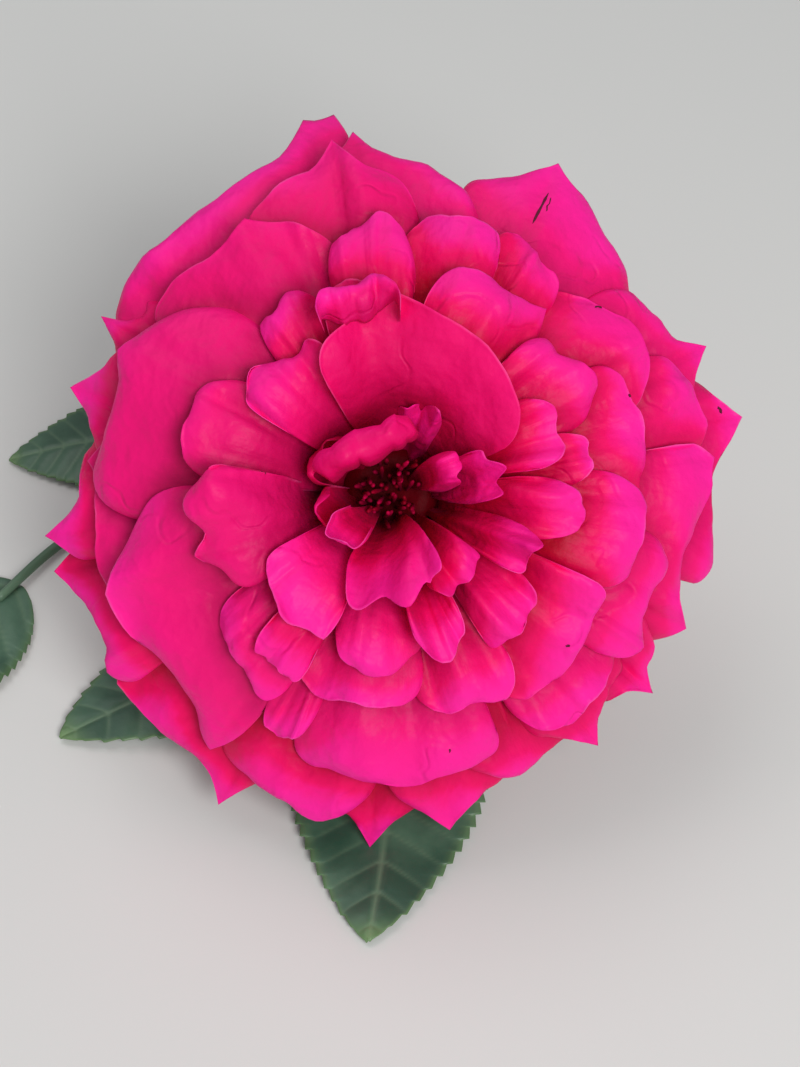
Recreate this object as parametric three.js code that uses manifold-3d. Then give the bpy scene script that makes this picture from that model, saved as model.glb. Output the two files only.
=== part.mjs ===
// Full double rose bloom on a short cut stem with two leaves, lying on a flat surface.
// Millimetres, Z up, origin at the centre of the footprint, lowest point at Z = 0.
import * as THREE from 'three';
import { mergeVertices } from 'three/addons/utils/BufferGeometryUtils.js';
import Module from 'manifold-3d';

const wasm = await Module();
wasm.setup();
const { Manifold, Mesh } = wasm;

// Driving sizes of the bloom
const LOOK_UP_DEG = 48;          // how far the bloom's face is turned up from the horizontal
const BASE_HEIGHT = 41.5;        // height of the receptacle above the surface it lies on
const VIEW_DISTANCE = 400;       // distance at which the petal reaches were judged
const VIEW_PLANE = 25;           // height in the bloom of the plane the scale was judged in
const REACH_LOW = 12;            // reach of the innermost kind of petal
const REACH_HIGH = 57;           // reach of the outermost kind of petal
const DOME_TOP = 40;             // height of the crown of the bloom over the receptacle
const DOME_DROP = 23;            // how much lower the outermost rims lie than the crown
const HEART_DIP = 0.35;          // drop of the rims per millimetre inside the crown
const DOME_START = 20;           // reach from which the rims fall away outwards, and dip inwards
const DOME_WIDTH = 38;           // reach over which they fall by the whole drop
const DOME_POWER = 1.6;
const SINK_INNER = 5;            // how far an innermost rim is pressed down by the ones before it
const SINK_OUTER = 12;           // how far an outermost rim is pressed down
const STAND_OUT = 0.8;           // middle line: how far it leans out as it leaves the seat
const STAND_DROP = 9;            // middle line: first handle below the rim, on innermost petals
const STAND_RISE = 26;           // middle line: how much higher that handle is on outermost ones
const ARCH_PLACE = 0.62;         // middle line: second handle, as a share of the reach
const ARCH_RISE = 22;            // middle line: its height over the rim on outermost petals
const PAST_RIM = 14;             // middle line: straight length beyond the rim
const LINE_STEPS = 160;
const PAST_STEPS = 60;
const SEAT_INNER = 3.2;          // radius at which the innermost petals are seated
const SEAT_OUTER = 10.5;         // radius at which the outermost petals are seated
const SEAT_TOP = 8;              // height of the innermost seat
const SEAT_DROP = 7;             // how much lower the outermost seat is
const CORE = [                   // packed petal feet: [radius, height] from the bottom to the top
  [6.6, -1.2], [8.4, 0.5], [9.8, 4], [11.2, 9], [12.4, 14], [12.8, 17.5], [11, 20.5],
  [7.5, 22], [4, 20], [0.8, 18.5],
];
const CORE_WIDEST = Math.max(...CORE.map((ring) => ring[0]));
const FOOT_LOWEST = 1;           // height below which no petal's foot is pressed
const PETAL_THICK = 0.6;
const TILE_TILT = 0.8;           // one margin of each petal rides up and the other dips
const FAN_AT_FOOT = 0.3;         // share of its spread that a petal has at the foot
const TIP_FLAT = 0.75;           // share of the rim's roll that is lost at a point of the rim
const TIP_WIDTH = 0.22;          // width of that flat stretch, in places across
const FOLD_WIDTH = 0.16;         // width of a crease, in places across
const UNREST = 0.25;             // small waves of the petal's face
const SECTORS = 180;             // sectors of the round map of the space still free below
const RINGS = 80;                // rings of that map, 1 mm wide
const MOST_SETTLE = 15;          // most that a petal is pushed down
const LEAST_SHARED = 0.001;      // shared volume in mm3 that is left alone
const SPARE = 0.4;               // further room left under a petal for the bend of the next
const PUSH_SPREAD = 0.75;        // share of a push that is passed on to the next points
const HEART_THICK = 0.8;
const GAP = 0.34;                // clearance kept between neighbouring parts

// Driving sizes of the stem, the hip and the leaves
const HIP_LENGTH = 13;
const HIP_RADIUS = 5.6;
const STEM_RADIUS = 2.3;
const STEM_BEND = 34;            // radius of the bend from the bloom's axis to the floor
const STEM_RUN = 30;             // straight length on the floor
const SEPAL_LENGTH = 24;
const SEPAL_WIDTH = 7.5;
const SEPAL_THICK = 0.9;
const BLADE_THICK = 0.75;
const VEIN_RADIUS = 0.85;         // stalk at its thin end
const STALK_TAPER = 0.5;         // how much thicker it is where it leaves the stem
const TEETH = 9;                 // teeth along each margin of a leaflet
const TOOTH_FOOT = 0.93;         // half width between teeth and at their points
const TOOTH_TOP = 1.05;
const TOOTH_LEAN = 0.012;        // how far the points lean forward, as a share of the length
const LEAST_HALF = 0.35;         // half width of a leaflet at its two ends
const BLADE_LIFT = 0.7;          // midrib over the surface at both ends
const BLADE_ARCH = 1.4;          // and how much more in the middle
const LEAF_CLEAR = 0.35;

const WELD = 0.004;              // corners nearer than this are one
const FINEST = 0.08;             // edges left by a cut that are shorter than this are closed up

// Colours
const GUARD_PINK = 0xd21a6c;
const PETAL_PINK = 0xe3187a;
const HEART_RED = 0xc4105c;
const STEM_GREEN = 0x557f3a;
const LEAF_GREEN = 0x2f5d3a;

const deg = THREE.MathUtils.degToRad;
const clamp = (x, low, high) => Math.min(high, Math.max(low, x));
const bell = (x, width) => Math.exp(-((x / width) ** 2));

// Petal table: name, bearing of the middle (degrees anticlockwise from the right), half
// spread (degrees), reach as seen from the front (mm), then what sets the petal apart.
// lift: rim above the dome, side: reach at the margins, square: how square the rim is,
// skew: one side longer, tips: points on the rim [place, mm], sharp: width of the points,
// roll and rollLength: curl of the rim, ruffle, waves: frill, folds: creases [place, mm].
const PETALS = [
  ['guard_petal_01', 122.4, 26, 54.0, { square: 6, side: 0.84, tips: [[-0.74, 6.2]], sharp: 0.2, lift: -3 }],
  ['guard_petal_02', 87, 17, 52.6, { square: 4, skew: 0.05, tips: [[0.52, 4]], lift: -2 }],
  ['guard_petal_03', 57, 19.5, 54.0, { square: 2.5, side: 0.88, skew: 0.025, tips: [[0.3, 3.6]],
    lift: -1, rollLength: 6 }],
  ['guard_petal_04', 30, 15, 51.2, { square: 4, tips: [[-0.35, 3.3]], lift: -4 }],
  ['guard_petal_05', 2, 19, 52.4, { square: 5, side: 0.9, tips: [[0.53, 4]], sharp: 0.18, lift: -3 }],
  ['guard_petal_06', -36.5, 12, 48.6, { tips: [[-0.05, 3.6]], side: 0.8, lift: -4 }],
  ['guard_petal_07', -47.5, 13, 48.2, { tips: [[-0.25, 3.2]], side: 0.8, lift: -3 }],
  ['guard_petal_08', -62, 16, 49.2, { square: 3, side: 0.7, lift: -1.8 }],
  ['guard_petal_09', -78, 16, 50.8, { tips: [[-0.15, 3]], lift: -2.5 }],
  ['guard_petal_10', -95, 16, 52.1, { tips: [[0.1, 4.2]], lift: -4 }],
  ['guard_petal_11', 251, 18, 52.2, { square: 3, side: 0.7, lift: -1 }],
  ['guard_petal_12', 229, 18.5, 52.2, { square: 5, side: 0.82, tips: [[0.67, 5.5], [-0.74, 1]], lift: -3 }],
  ['guard_petal_13', 203, 14, 51.8, { square: 6, side: 0.85, tips: [[-0.7, 2.6], [0.68, 1]], lift: -2.5 }],
  ['guard_petal_14', 179, 14, 49.9, { square: 5, side: 0.88, skew: 0.03, tips: [[0.6, 3.6]], lift: -4 }],
  ['guard_petal_15', 161, 14, 49.0, { tips: [[0.05, 4.2]], side: 0.8, sharp: 0.25, lift: -3.5 }],
  ['guard_petal_16', 149, 9, 49.6, { tips: [[0, 3.4]], side: 0.8, lift: -5 }],
  ['outer_petal_01', 103, 20, 51.0, { square: 4, skew: -0.01, tips: [[-0.17, 4.8]], lift: -1 }],
  ['outer_petal_02', 123, 22, 46.8, { square: 3.5, skew: 0.09, side: 0.8, tips: [[-0.22, 2.4]], lift: 0.3 }],
  ['outer_petal_03', 157.5, 31, 46.0, { square: 3, side: 0.55, skew: 0.06, tips: [[-0.16, 2]],
    sharp: 0.2, roll: 70, rollLength: 7, lift: 0 }],
  ['outer_petal_04', 186, 19, 47.2, { square: 4, side: 0.8, tips: [[-0.6, 2.2]], lift: -2 }],
  ['outer_petal_05', 210, 31, 44.9, { square: 3, side: 0.62, skew: 0.1, tips: [[-0.3, 2], [0.83, 6]],
    sharp: 0.2, roll: 70, rollLength: 7, lift: 0 }],
  ['outer_petal_06', 271.5, 23, 46.6, { square: 4, side: 0.78, roll: 75, rollLength: 7, lift: -0.5 }],
  ['outer_petal_07', 312.5, 14, 46.6, { square: 2.5, side: 0.8, lift: -0.6 }],
  ['outer_petal_08', 337, 15, 45.4, { square: 4, side: 0.75, lift: -1 }],
  ['outer_petal_09', -11, 20, 48.9, { square: 6, side: 0.9, tips: [[0.84, 2.2], [-0.7, 2.8]], lift: -1.5 }],
  ['outer_petal_10', 15, 15, 50.5, { square: 4, lift: -2 }],
  ['outer_petal_11', 36, 18, 46.2, { square: 2.4, side: 0.75, skew: -0.03, lift: -0.3 }],
  ['outer_petal_12', 14, 18, 41.8, { square: 2.5, side: 0.8, lift: -0.3 }],
  ['inner_petal_01', 77, 13, 44.8, { square: 2.5, side: 0.7, skew: -0.05, lift: -0.5 }],
  ['inner_petal_02', 58.4, 10.8, 45.0, { square: 2.5, side: 0.8, skew: 0.04, lift: -0.3 }],
  ['inner_petal_03', 61, 18, 36.8, { square: 3, side: 0.7, tips: [[-0.7, 3]], lift: 0 }],
  ['inner_petal_04', 95, 11.5, 42.6, { square: 2.5, side: 0.75, lift: -0.5 }],
  ['inner_petal_05', 119, 12, 35.6, { square: 2.5, lift: -0.2 }],
  ['inner_petal_06', 99, 13, 33.9, { square: 3, lift: 0 }],
  ['inner_petal_07', 70, 51, 28.2, { square: 2.5, side: 0.66, skew: 0.05, tips: [[0.34, 4]], lift: 2,
    roll: 25, folds: [[0.55, -3]] }],
  ['inner_petal_08', 131, 20, 28.5, { square: 3, side: 0.55, skew: 0.1, lift: 1 }],
  ['inner_petal_09', 161, 19, 33.9, { square: 3, lift: 0 }],
  ['inner_petal_10', 195, 22, 30.0, { square: 4, side: 0.7, tips: [[0.25, 2]], sharp: 0.2, lift: 0.5 }],
  ['inner_petal_11', 228, 15, 37.2, { square: 3, skew: 0.09, side: 0.75, lift: 0 }],
  ['inner_petal_12', 228, 21, 25.5, { square: 3, side: 0.7, skew: 0.05, tips: [[0.85, 1.6]], lift: 0 }],
  ['inner_petal_13', 265, 19, 29.2, { square: 2.3, side: 0.65, lift: 0 }],
  ['inner_petal_14', 246, 7, 43.2, { square: 3, lift: 1 }],
  ['inner_petal_15', 262, 20, 34.6, { square: 3, side: 0.75, lift: -0.7 }],
  ['inner_petal_16', 290, 15.5, 37.4, { square: 3, side: 0.7, skew: 0.05, lift: 0.3 }],
  ['inner_petal_17', 315, 13, 30.8, { square: 3, side: 0.75, skew: -0.1, lift: 0, ruffle: 0.7 }],
  ['inner_petal_18', 288, 11, 27.8, { square: 3, lift: 0.5 }],
  ['inner_petal_19', 317, 19, 39.9, { square: 3, side: 0.8, lift: -0.3 }],
  ['inner_petal_20', -11, 17, 41.2, { square: 2.4, side: 0.65, lift: 0.3 }],
  ['inner_petal_21', 28, 19, 28.7, { square: 3, side: 0.75, lift: 1 }],
  ['inner_petal_22', 9, 10, 32.8, { square: 3, lift: 0.5 }],
  ['inner_petal_23', -7, 13, 31.0, { square: 2.2, side: 0.6, lift: 0 }],
  ['inner_petal_24', 34, 15, 35.9, { square: 3, side: 0.75, lift: 0 }],
  ['inner_petal_25', 238, 9, 34.0, { square: 3, side: 0.8, skew: 0.03, lift: 0.8 }],
];

// Small petals round the open middle; they grow together at the foot and are one part
const HEART = [
  ['heart_01', 9, 18, 17.8, { roll: 30 }],
  ['heart_02', 66, 30, 13.6, { roll: 30 }],
  ['heart_03', 125, 46, 12.0, { ruffle: 1.2, waves: 4, wave: 1, roll: 30 }],
  ['heart_04', 152, 24, 15.8, { roll: 30 }],
  ['heart_05', 196, 22, 14.2, { roll: 30 }],
  ['heart_06', 275, 34, 17.8, { skew: -0.08, ruffle: 0.8, waves: 4, roll: 30 }],
  ['heart_07', 308, 17, 19.4, { roll: 30 }],
  ['heart_08', 336, 11, 25.3, { skew: -0.06 }],
  ['heart_09', 20, 20, 11.6, { roll: 30 }],
  ['heart_10', 226, 21, 13.4, { roll: 30 }],
];

// One row of the table as a petal with every size filled in
function petalOf([name, bearing, spread, seen, extra], index) {
  const petal = {
    name, bearing, spread, lift: 0, side: 0.55, square: 3, skew: 0, tips: [], sharp: 0.14,
    roll: 50, rollLength: 5, ruffle: 0, waves: 3, wave: 0, folds: [], seed: index, ...extra,
  };
  const height = domeHeight(seen) + petal.lift;
  const x = shareOfReach(seen);
  const sunk = SINK_INNER + (SINK_OUTER - SINK_INNER) * x;
  petal.reach = seen * (1 - (height - sunk - VIEW_PLANE) / VIEW_DISTANCE);
  return petal;
}

// Height of a rim over the receptacle: a dome with a dip in the middle
function domeHeight(reach) {
  const far = Math.max(0, (reach - DOME_START) / DOME_WIDTH);
  return DOME_TOP - DOME_DROP * far ** DOME_POWER - HEART_DIP * Math.max(0, DOME_START - reach);
}

// 0 for an innermost petal, 1 for an outermost one
function shareOfReach(reach) {
  return clamp((reach - REACH_LOW) / (REACH_HIGH - REACH_LOW), 0, 1.1);
}

// Middle line of a petal, from its seat up and over to the rim and on past it
function middleLine(petal) {
  const x = shareOfReach(petal.reach);
  const height = domeHeight(petal.reach) + petal.lift;
  const seat = SEAT_INNER + (SEAT_OUTER - SEAT_INNER) * x - 0.12 * petal.lift;
  const p = [
    [seat, SEAT_TOP - SEAT_DROP * x],
    [seat + STAND_OUT, height - STAND_DROP + STAND_RISE * x],
    [ARCH_PLACE * petal.reach, height + ARCH_RISE * x],
    [petal.reach, height],
  ];
  const line = [];
  for (let i = 0; i < LINE_STEPS; i += 1) {
    const q = i / (LINE_STEPS - 1);
    const b = [(1 - q) ** 3, 3 * (1 - q) ** 2 * q, 3 * (1 - q) * q * q, q ** 3];
    line.push([0, 1].map((k) => b.reduce((sum, share, j) => sum + share * p[j][k], 0)));
  }
  const way = [p[3][0] - p[2][0], p[3][1] - p[2][1]];
  const length = Math.hypot(...way);
  for (let i = 1; i <= PAST_STEPS; i += 1) {
    const past = PAST_RIM * i / (PAST_STEPS * length);
    line.push([p[3][0] + way[0] * past, p[3][1] + way[1] * past]);
  }
  return line;
}

// Length along a line up to each of its points
function lengthsOf(line) {
  const out = [0];
  for (let i = 1; i < line.length; i += 1) {
    out.push(out[i - 1] + Math.hypot(line[i][0] - line[i - 1][0], line[i][1] - line[i - 1][1]));
  }
  return out;
}

// Value of ys at x, for rising xs
function read(x, xs, ys) {
  if (x <= xs[0]) return ys[0];
  const last = xs.length - 1;
  if (x >= xs[last]) return ys[last];
  let low = 0;
  let high = last;
  while (high - low > 1) {
    const middle = (low + high) >> 1;
    if (xs[middle] <= x) low = middle;
    else high = middle;
  }
  return ys[low] + (ys[high] - ys[low]) * (x - xs[low]) / (xs[high] - xs[low]);
}

// Reach of the rim at the place s, from one margin (-1) to the other (1)
function rimReach(petal, s, gain) {
  const across = Math.min(1, Math.abs(s));
  const shape = petal.side + (1 - petal.side) * (1 - across ** petal.square) ** (1 / petal.square);
  let reach = petal.reach * gain * shape * (1 + petal.skew * s);
  for (const [place, mm] of petal.tips) reach += mm * Math.exp(-Math.abs(s - place) / petal.sharp);
  return reach + 0.5 * petal.wave * Math.sin(petal.waves * Math.PI * s);
}

// Places across the petal, with one set on each point of the rim
function placesAcross(petal, count) {
  const places = [];
  const widest = Math.sin(0.45 * Math.PI);
  for (let i = 0; i <= count; i += 1) {
    places.push(Math.sin((2 * i / count - 1) * 0.45 * Math.PI) / widest);
  }
  for (const [tip] of petal.tips) {
    let best = 1;
    for (let i = 1; i < count; i += 1) {
      if (Math.abs(places[i] - tip) < Math.abs(places[best] - tip)) best = i;
    }
    places[best] = tip;
  }
  return places;
}

// One point of the petal: the middle line, the rolled rim, then cup, ruffle and folds
function petalPoint(petal, line, lengths, radii, heights, s, t, gain) {
  const whole = read(rimReach(petal, s, gain), radii, lengths);
  const start = Math.max(whole - petal.rollLength, 0.4 * whole);
  const rollRun = whole - start;
  const along = t * whole;
  const base = Math.min(along, start);
  const step = 0.5;
  let dr = read(base + step, lengths, radii) - read(base - step, lengths, radii);
  let dw = read(base + step, lengths, heights) - read(base - step, lengths, heights);
  const size = Math.hypot(dr, dw);
  dr /= size;
  dw /= size;
  let bend = deg(petal.roll);
  for (const [place] of petal.tips) bend *= 1 - TIP_FLAT * bell(s - place, TIP_WIDTH);
  let rho = read(base, lengths, radii);
  let w = read(base, lengths, heights);
  if (along > start) {
    const turn = bend * (along - start) / rollRun;
    const radius = rollRun / Math.max(bend, 0.001);
    const forward = radius * Math.sin(turn);
    const down = radius * (1 - Math.cos(turn));
    rho += forward * dr + down * dw;
    w += forward * dw - down * dr;
  }
  const fan = FAN_AT_FOOT + (1 - FAN_AT_FOOT) * clamp(1.25 * t, 0, 1) ** 0.8;
  const phi = deg(petal.bearing + petal.spread * s * fan);
  w += TILE_TILT * s * Math.min(1, 2 * t);
  w += petal.ruffle * Math.sin(petal.waves * Math.PI * s) * t ** 4;
  for (const [place, mm] of petal.folds) w += mm * bell(s - place, FOLD_WIDTH) * t * t;
  const k = petal.seed;
  const unrest = Math.sin(2.3 * s + 1.7 * k + 5 * t) + Math.sin(4.1 * s - 2.9 * k - 7 * t);
  w += UNREST * t * t * unrest;
  return new THREE.Vector3(rho * Math.cos(phi), rho * Math.sin(phi), w);
}

// How much further the unrolled rim must reach so that the rolled one reaches as far as asked
function rollGain(petal, line, lengths, radii, heights) {
  let gain = 1;
  const plain = { ...petal, tips: [], skew: 0, wave: 0, ruffle: 0, folds: [] };
  for (let round = 0; round < 2; round += 1) {
    let far = 0;
    for (let i = 0; i <= 40; i += 1) {
      const point = petalPoint(plain, line, lengths, radii, heights, 0, (i / 40) ** 0.9, gain);
      far = Math.max(far, Math.hypot(point.x, point.y));
    }
    gain *= petal.reach / far;
  }
  return gain;
}

// Radius of the core at a height, with the clearance added
function coreRadius(height) {
  const wall = CORE.slice(1, -2);
  if (height > wall[wall.length - 1][1] + 1) return 0;
  return read(height, wall.map((p) => p[1]), wall.map((p) => p[0])) + GAP + 0.5 * PETAL_THICK + 0.15;
}

// How far along a petal it comes clear of the core
function clearOfCore(petal, line, lengths, radii, heights, gain) {
  let start = 0;
  for (const s of [-1, -0.5, 0, 0.5, 1]) {
    for (let i = 0; i <= 90; i += 1) {
      const t = i / 100;
      const point = petalPoint(petal, line, lengths, radii, heights, s, t, gain);
      if (Math.hypot(point.x, point.y) < coreRadius(point.z)) start = Math.max(start, t + 0.01);
    }
  }
  return start;
}

// Middle surface of a petal as rows (core to rim) of points (margin to margin)
function petalGrid(petal, across, rows, fromSeat = false) {
  const line = middleLine(petal);
  const lengths = lengthsOf(line);
  const radii = line.map((point) => point[0]);
  const heights = line.map((point) => point[1]);
  const gain = rollGain(petal, line, lengths, radii, heights);
  const places = placesAcross(petal, across);
  const start = fromSeat ? 0.1 : clearOfCore(petal, line, lengths, radii, heights, gain);
  return rows.map((row) => places.map((s) => (
    petalPoint(petal, line, lengths, radii, heights, s, start + (1 - start) * row, gain))));
}

// Does something with each cell of the round map near a point
function nearCells(point, spread, action) {
  const radius = Math.hypot(point.x, point.y);
  const turn = (Math.atan2(point.y, point.x) / (2 * Math.PI) + 1) * SECTORS;
  const reach = Math.ceil(spread * SECTORS / (2 * Math.PI * Math.max(radius, 2)));
  for (let a = -spread; a <= spread; a += 1) {
    const ring = clamp(Math.floor(radius) + a, 0, RINGS - 1);
    for (let b = -reach; b <= reach; b += 1) {
      action(ring * SECTORS + (Math.floor(turn) + b + SECTORS) % SECTORS);
    }
  }
}

// Brings the free space below down to under a petal that is in place
function lowerCeiling(ceiling, grid) {
  const fine = 6;
  for (let i = 0; i < grid.length - 1; i += 1) {
    for (let j = 0; j < grid[0].length - 1; j += 1) {
      for (let n = 0; n < fine * fine; n += 1) {
        const u = (n % fine) / fine;
        const v = Math.floor(n / fine) / fine;
        const near = grid[i][j].clone().lerp(grid[i][j + 1], u);
        const far = grid[i + 1][j].clone().lerp(grid[i + 1][j + 1], u);
        const point = near.lerp(far, v);
        nearCells(point, 1, (cell) => {
          ceiling[cell] = Math.min(ceiling[cell], point.z);
        });
      }
    }
  }
}

// Pushes a petal down until it lies under the petals that are in place already
function settle(ceiling, grid, thick) {
  const normals = gridNormals(grid);
  let push = grid.map((row, i) => row.map((point, j) => {
    const room = (thick + GAP + SPARE) / Math.max(0.4, Math.abs(normals[i][j].z));
    let roof = Infinity;
    nearCells(point, 0, (cell) => {
      roof = Math.min(roof, ceiling[cell]);
    });
    return clamp(point.z - (roof - room), 0, MOST_SETTLE);
  }));
  const last = grid.length - 1;
  const end = grid[0].length - 1;
  for (let round = 0; round < 2; round += 1) {
    push = push.map((row, i) => row.map((own, j) => {
      const around = [push[Math.max(i - 1, 0)][j], push[Math.min(i + 1, last)][j],
        row[Math.max(j - 1, 0)], row[Math.min(j + 1, end)]];
      return Math.max(own, PUSH_SPREAD * Math.max(...around));
    }));
  }
  return grid.map((row, i) => row.map((point, j) => {
    const foot = Math.hypot(point.x, point.y) < CORE_WIDEST ? Math.min(point.z, FOOT_LOWEST) : -Infinity;
    return new THREE.Vector3(point.x, point.y, Math.max(point.z - push[i][j], foot));
  }));
}

// Unit normals of a grid of points
function gridNormals(grid) {
  const last = grid.length - 1;
  const end = grid[0].length - 1;
  const own = grid.map((row, i) => row.map((point, j) => {
    const up = grid[Math.min(i + 1, last)][j].clone().sub(grid[Math.max(i - 1, 0)][j]);
    const side = row[Math.min(j + 1, end)].clone().sub(row[Math.max(j - 1, 0)]);
    return side.cross(up).normalize();
  }));
  return own.map((row, i) => row.map((normal, j) => {
    const sum = normal.clone();
    for (const [a, b] of [[i - 1, j], [i + 1, j], [i, j - 1], [i, j + 1]]) {
      if (own[a] && own[a][b]) sum.addScaledVector(own[a][b], 0.5);
    }
    return sum.normalize();
  }));
}

// Grid with its four edges moved outwards by a margin
function widened(grid, margin) {
  const out = grid.map((row) => row.map((point) => point.clone()));
  const last = grid.length - 1;
  const end = grid[0].length - 1;
  const push = (i, j, a, b) => {
    const way = grid[i][j].clone().sub(grid[a][b]);
    out[i][j].addScaledVector(way.normalize(), margin);
  };
  for (let j = 0; j <= end; j += 1) {
    push(0, j, 1, j);
    push(last, j, last - 1, j);
  }
  for (let i = 0; i <= last; i += 1) {
    push(i, 0, i, 1);
    push(i, end, i, end - 1);
  }
  return out;
}

// Closed solid of even thickness round a grid of points
function slab(grid, thick, normals = gridNormals(grid)) {
  const rows = grid.length;
  const cols = grid[0].length;
  const positions = [];
  for (const sign of [1, -1]) {
    grid.forEach((row, i) => row.forEach((point, j) => {
      const moved = point.clone().addScaledVector(normals[i][j], sign * thick / 2);
      positions.push(moved.x, moved.y, moved.z);
    }));
  }
  const half = rows * cols;
  const triangles = [];
  const quad = (a, b, c, d) => triangles.push(a, b, c, a, c, d);
  for (let i = 0; i < rows - 1; i += 1) {
    for (let j = 0; j < cols - 1; j += 1) {
      const a = i * cols + j;
      quad(a, a + 1, a + 1 + cols, a + cols);
      quad(half + a, half + a + cols, half + a + cols + 1, half + a + 1);
    }
  }
  for (let j = 0; j < cols - 1; j += 1) {
    const top = (rows - 1) * cols + j;
    quad(half + j, half + j + 1, j + 1, j);
    quad(top, top + 1, half + top + 1, half + top);
  }
  for (let i = 0; i < rows - 1; i += 1) {
    const a = i * cols;
    const b = a + cols - 1;
    quad(a, a + cols, half + a + cols, half + a);
    quad(half + b, half + b + cols, b + cols, b);
  }
  return solidOf(positions, triangles);
}

// Solid from flat lists of positions and triangle corners
function solidOf(positions, triangles) {
  return new Manifold(new Mesh({
    numProp: 3,
    vertProperties: new Float32Array(positions),
    triVerts: new Uint32Array(triangles),
  }));
}

// Largest of the bodies a cut leaves
function largest(solid) {
  const bodies = solid.decompose();
  return bodies.reduce((best, body) => (body.volume() > best.volume() ? body : best));
}

// Solid made whole: every inner surface that shuts in a hollow is left out
function withoutHollows(solid) {
  const mesh = solid.getMesh();
  const owner = Array.from({ length: mesh.vertProperties.length / 3 }, (_, i) => i);
  const find = (i) => {
    let root = i;
    while (owner[root] !== root) root = owner[root];
    owner[i] = root;
    return root;
  };
  const join = (a, b) => {
    owner[find(a)] = find(b);
  };
  mesh.mergeFromVert.forEach((from, i) => join(from, mesh.mergeToVert[i]));
  for (let i = 0; i < mesh.triVerts.length; i += 3) {
    join(mesh.triVerts[i], mesh.triVerts[i + 1]);
    join(mesh.triVerts[i], mesh.triVerts[i + 2]);
  }
  const shells = new Map();
  const at = (i) => new THREE.Vector3().fromArray(mesh.vertProperties, 3 * i);
  for (let i = 0; i < mesh.triVerts.length; i += 3) {
    const corners = [0, 1, 2].map((k) => mesh.triVerts[i + k]);
    const root = find(corners[0]);
    const shell = shells.get(root) || { volume: 0, triangles: [] };
    shell.volume += at(corners[0]).dot(at(corners[1]).cross(at(corners[2]))) / 6;
    shell.triangles.push(...corners);
    shells.set(root, shell);
  }
  const outer = [...shells.values()].reduce((best, shell) => (shell.volume > best.volume ? shell : best));
  return new Manifold(new Mesh({
    numProp: 3,
    vertProperties: mesh.vertProperties,
    triVerts: new Uint32Array(outer.triangles),
    mergeFromVert: mesh.mergeFromVert,
    mergeToVert: mesh.mergeToVert,
  }));
}

// True when the boxes round two solids come nearer than the gap
function meet(a, b) {
  const p = a.boundingBox();
  const q = b.boundingBox();
  return [0, 1, 2].every((k) => p.min[k] < q.max[k] + GAP && q.min[k] < p.max[k] + GAP);
}

// Round solid about the bloom's axis from a list of [radius, height], bottom to top
function turned(outline, sides) {
  const positions = [];
  const triangles = [];
  outline.forEach(([radius, height]) => {
    for (let j = 0; j < sides; j += 1) {
      const phi = 2 * Math.PI * j / sides;
      positions.push(radius * Math.cos(phi), radius * Math.sin(phi), height);
    }
  });
  for (let i = 0; i < outline.length - 1; i += 1) {
    for (let j = 0; j < sides; j += 1) {
      const a = i * sides + j;
      const b = i * sides + (j + 1) % sides;
      triangles.push(a, b, b + sides, a, b + sides, a + sides);
    }
  }
  capEnds(positions, triangles, outline.length, sides);
  return solidOf(positions, triangles);
}

// Closes the first and the last ring of a tube with a point in the middle of each
function capEnds(positions, triangles, rings, sides) {
  for (const ring of [0, rings - 1]) {
    const middle = [0, 0, 0];
    for (let j = 0; j < sides; j += 1) {
      for (let k = 0; k < 3; k += 1) middle[k] += positions[3 * (ring * sides + j) + k] / sides;
    }
    const centre = positions.length / 3;
    positions.push(...middle);
    for (let j = 0; j < sides; j += 1) {
      const a = ring * sides + j;
      const b = ring * sides + (j + 1) % sides;
      if (ring === 0) triangles.push(b, a, centre);
      else triangles.push(a, b, centre);
    }
  }
}

// Round tube along a list of points, with a radius for each
function tube(points, radii, sides) {
  const positions = [];
  const triangles = [];
  points.forEach((point, i) => {
    const before = points[Math.max(0, i - 1)];
    const after = points[Math.min(points.length - 1, i + 1)];
    const way = after.clone().sub(before).normalize();
    const out = new THREE.Vector3(1, 0, 0).addScaledVector(way, -way.x);
    if (out.length() < 0.3) out.set(0, 0, 1).addScaledVector(way, -way.z);
    out.normalize();
    const other = way.clone().cross(out);
    for (let j = 0; j < sides; j += 1) {
      const phi = 2 * Math.PI * j / sides;
      const ring = point.clone().addScaledVector(out, radii[i] * Math.cos(phi));
      ring.addScaledVector(other, radii[i] * Math.sin(phi));
      positions.push(ring.x, ring.y, ring.z);
    }
  });
  for (let i = 0; i < points.length - 1; i += 1) {
    for (let j = 0; j < sides; j += 1) {
      const a = i * sides + j;
      const b = i * sides + (j + 1) % sides;
      triangles.push(a, b, b + sides, a, b + sides, a + sides);
    }
  }
  capEnds(positions, triangles, points.length, sides);
  return solidOf(positions, triangles);
}

// Receptacle the petals sit on, the hip below it and five sepals bent back
function makeHip() {
  let solid = turned([
    [STEM_RADIUS + 0.5, -HIP_LENGTH], [HIP_RADIUS * 0.9, -HIP_LENGTH * 0.75],
    [HIP_RADIUS, -HIP_LENGTH * 0.45],
    [HIP_RADIUS * 0.94, CORE[0][1] - 3], [CORE[0][0] - 0.3, CORE[0][1] - 1.6], [CORE[0][0], CORE[0][1] - GAP],
  ], 20);
  for (let n = 0; n < 5; n += 1) solid = solid.add(makeSepal(deg(72 * n + 20)));
  return solid;
}

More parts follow.
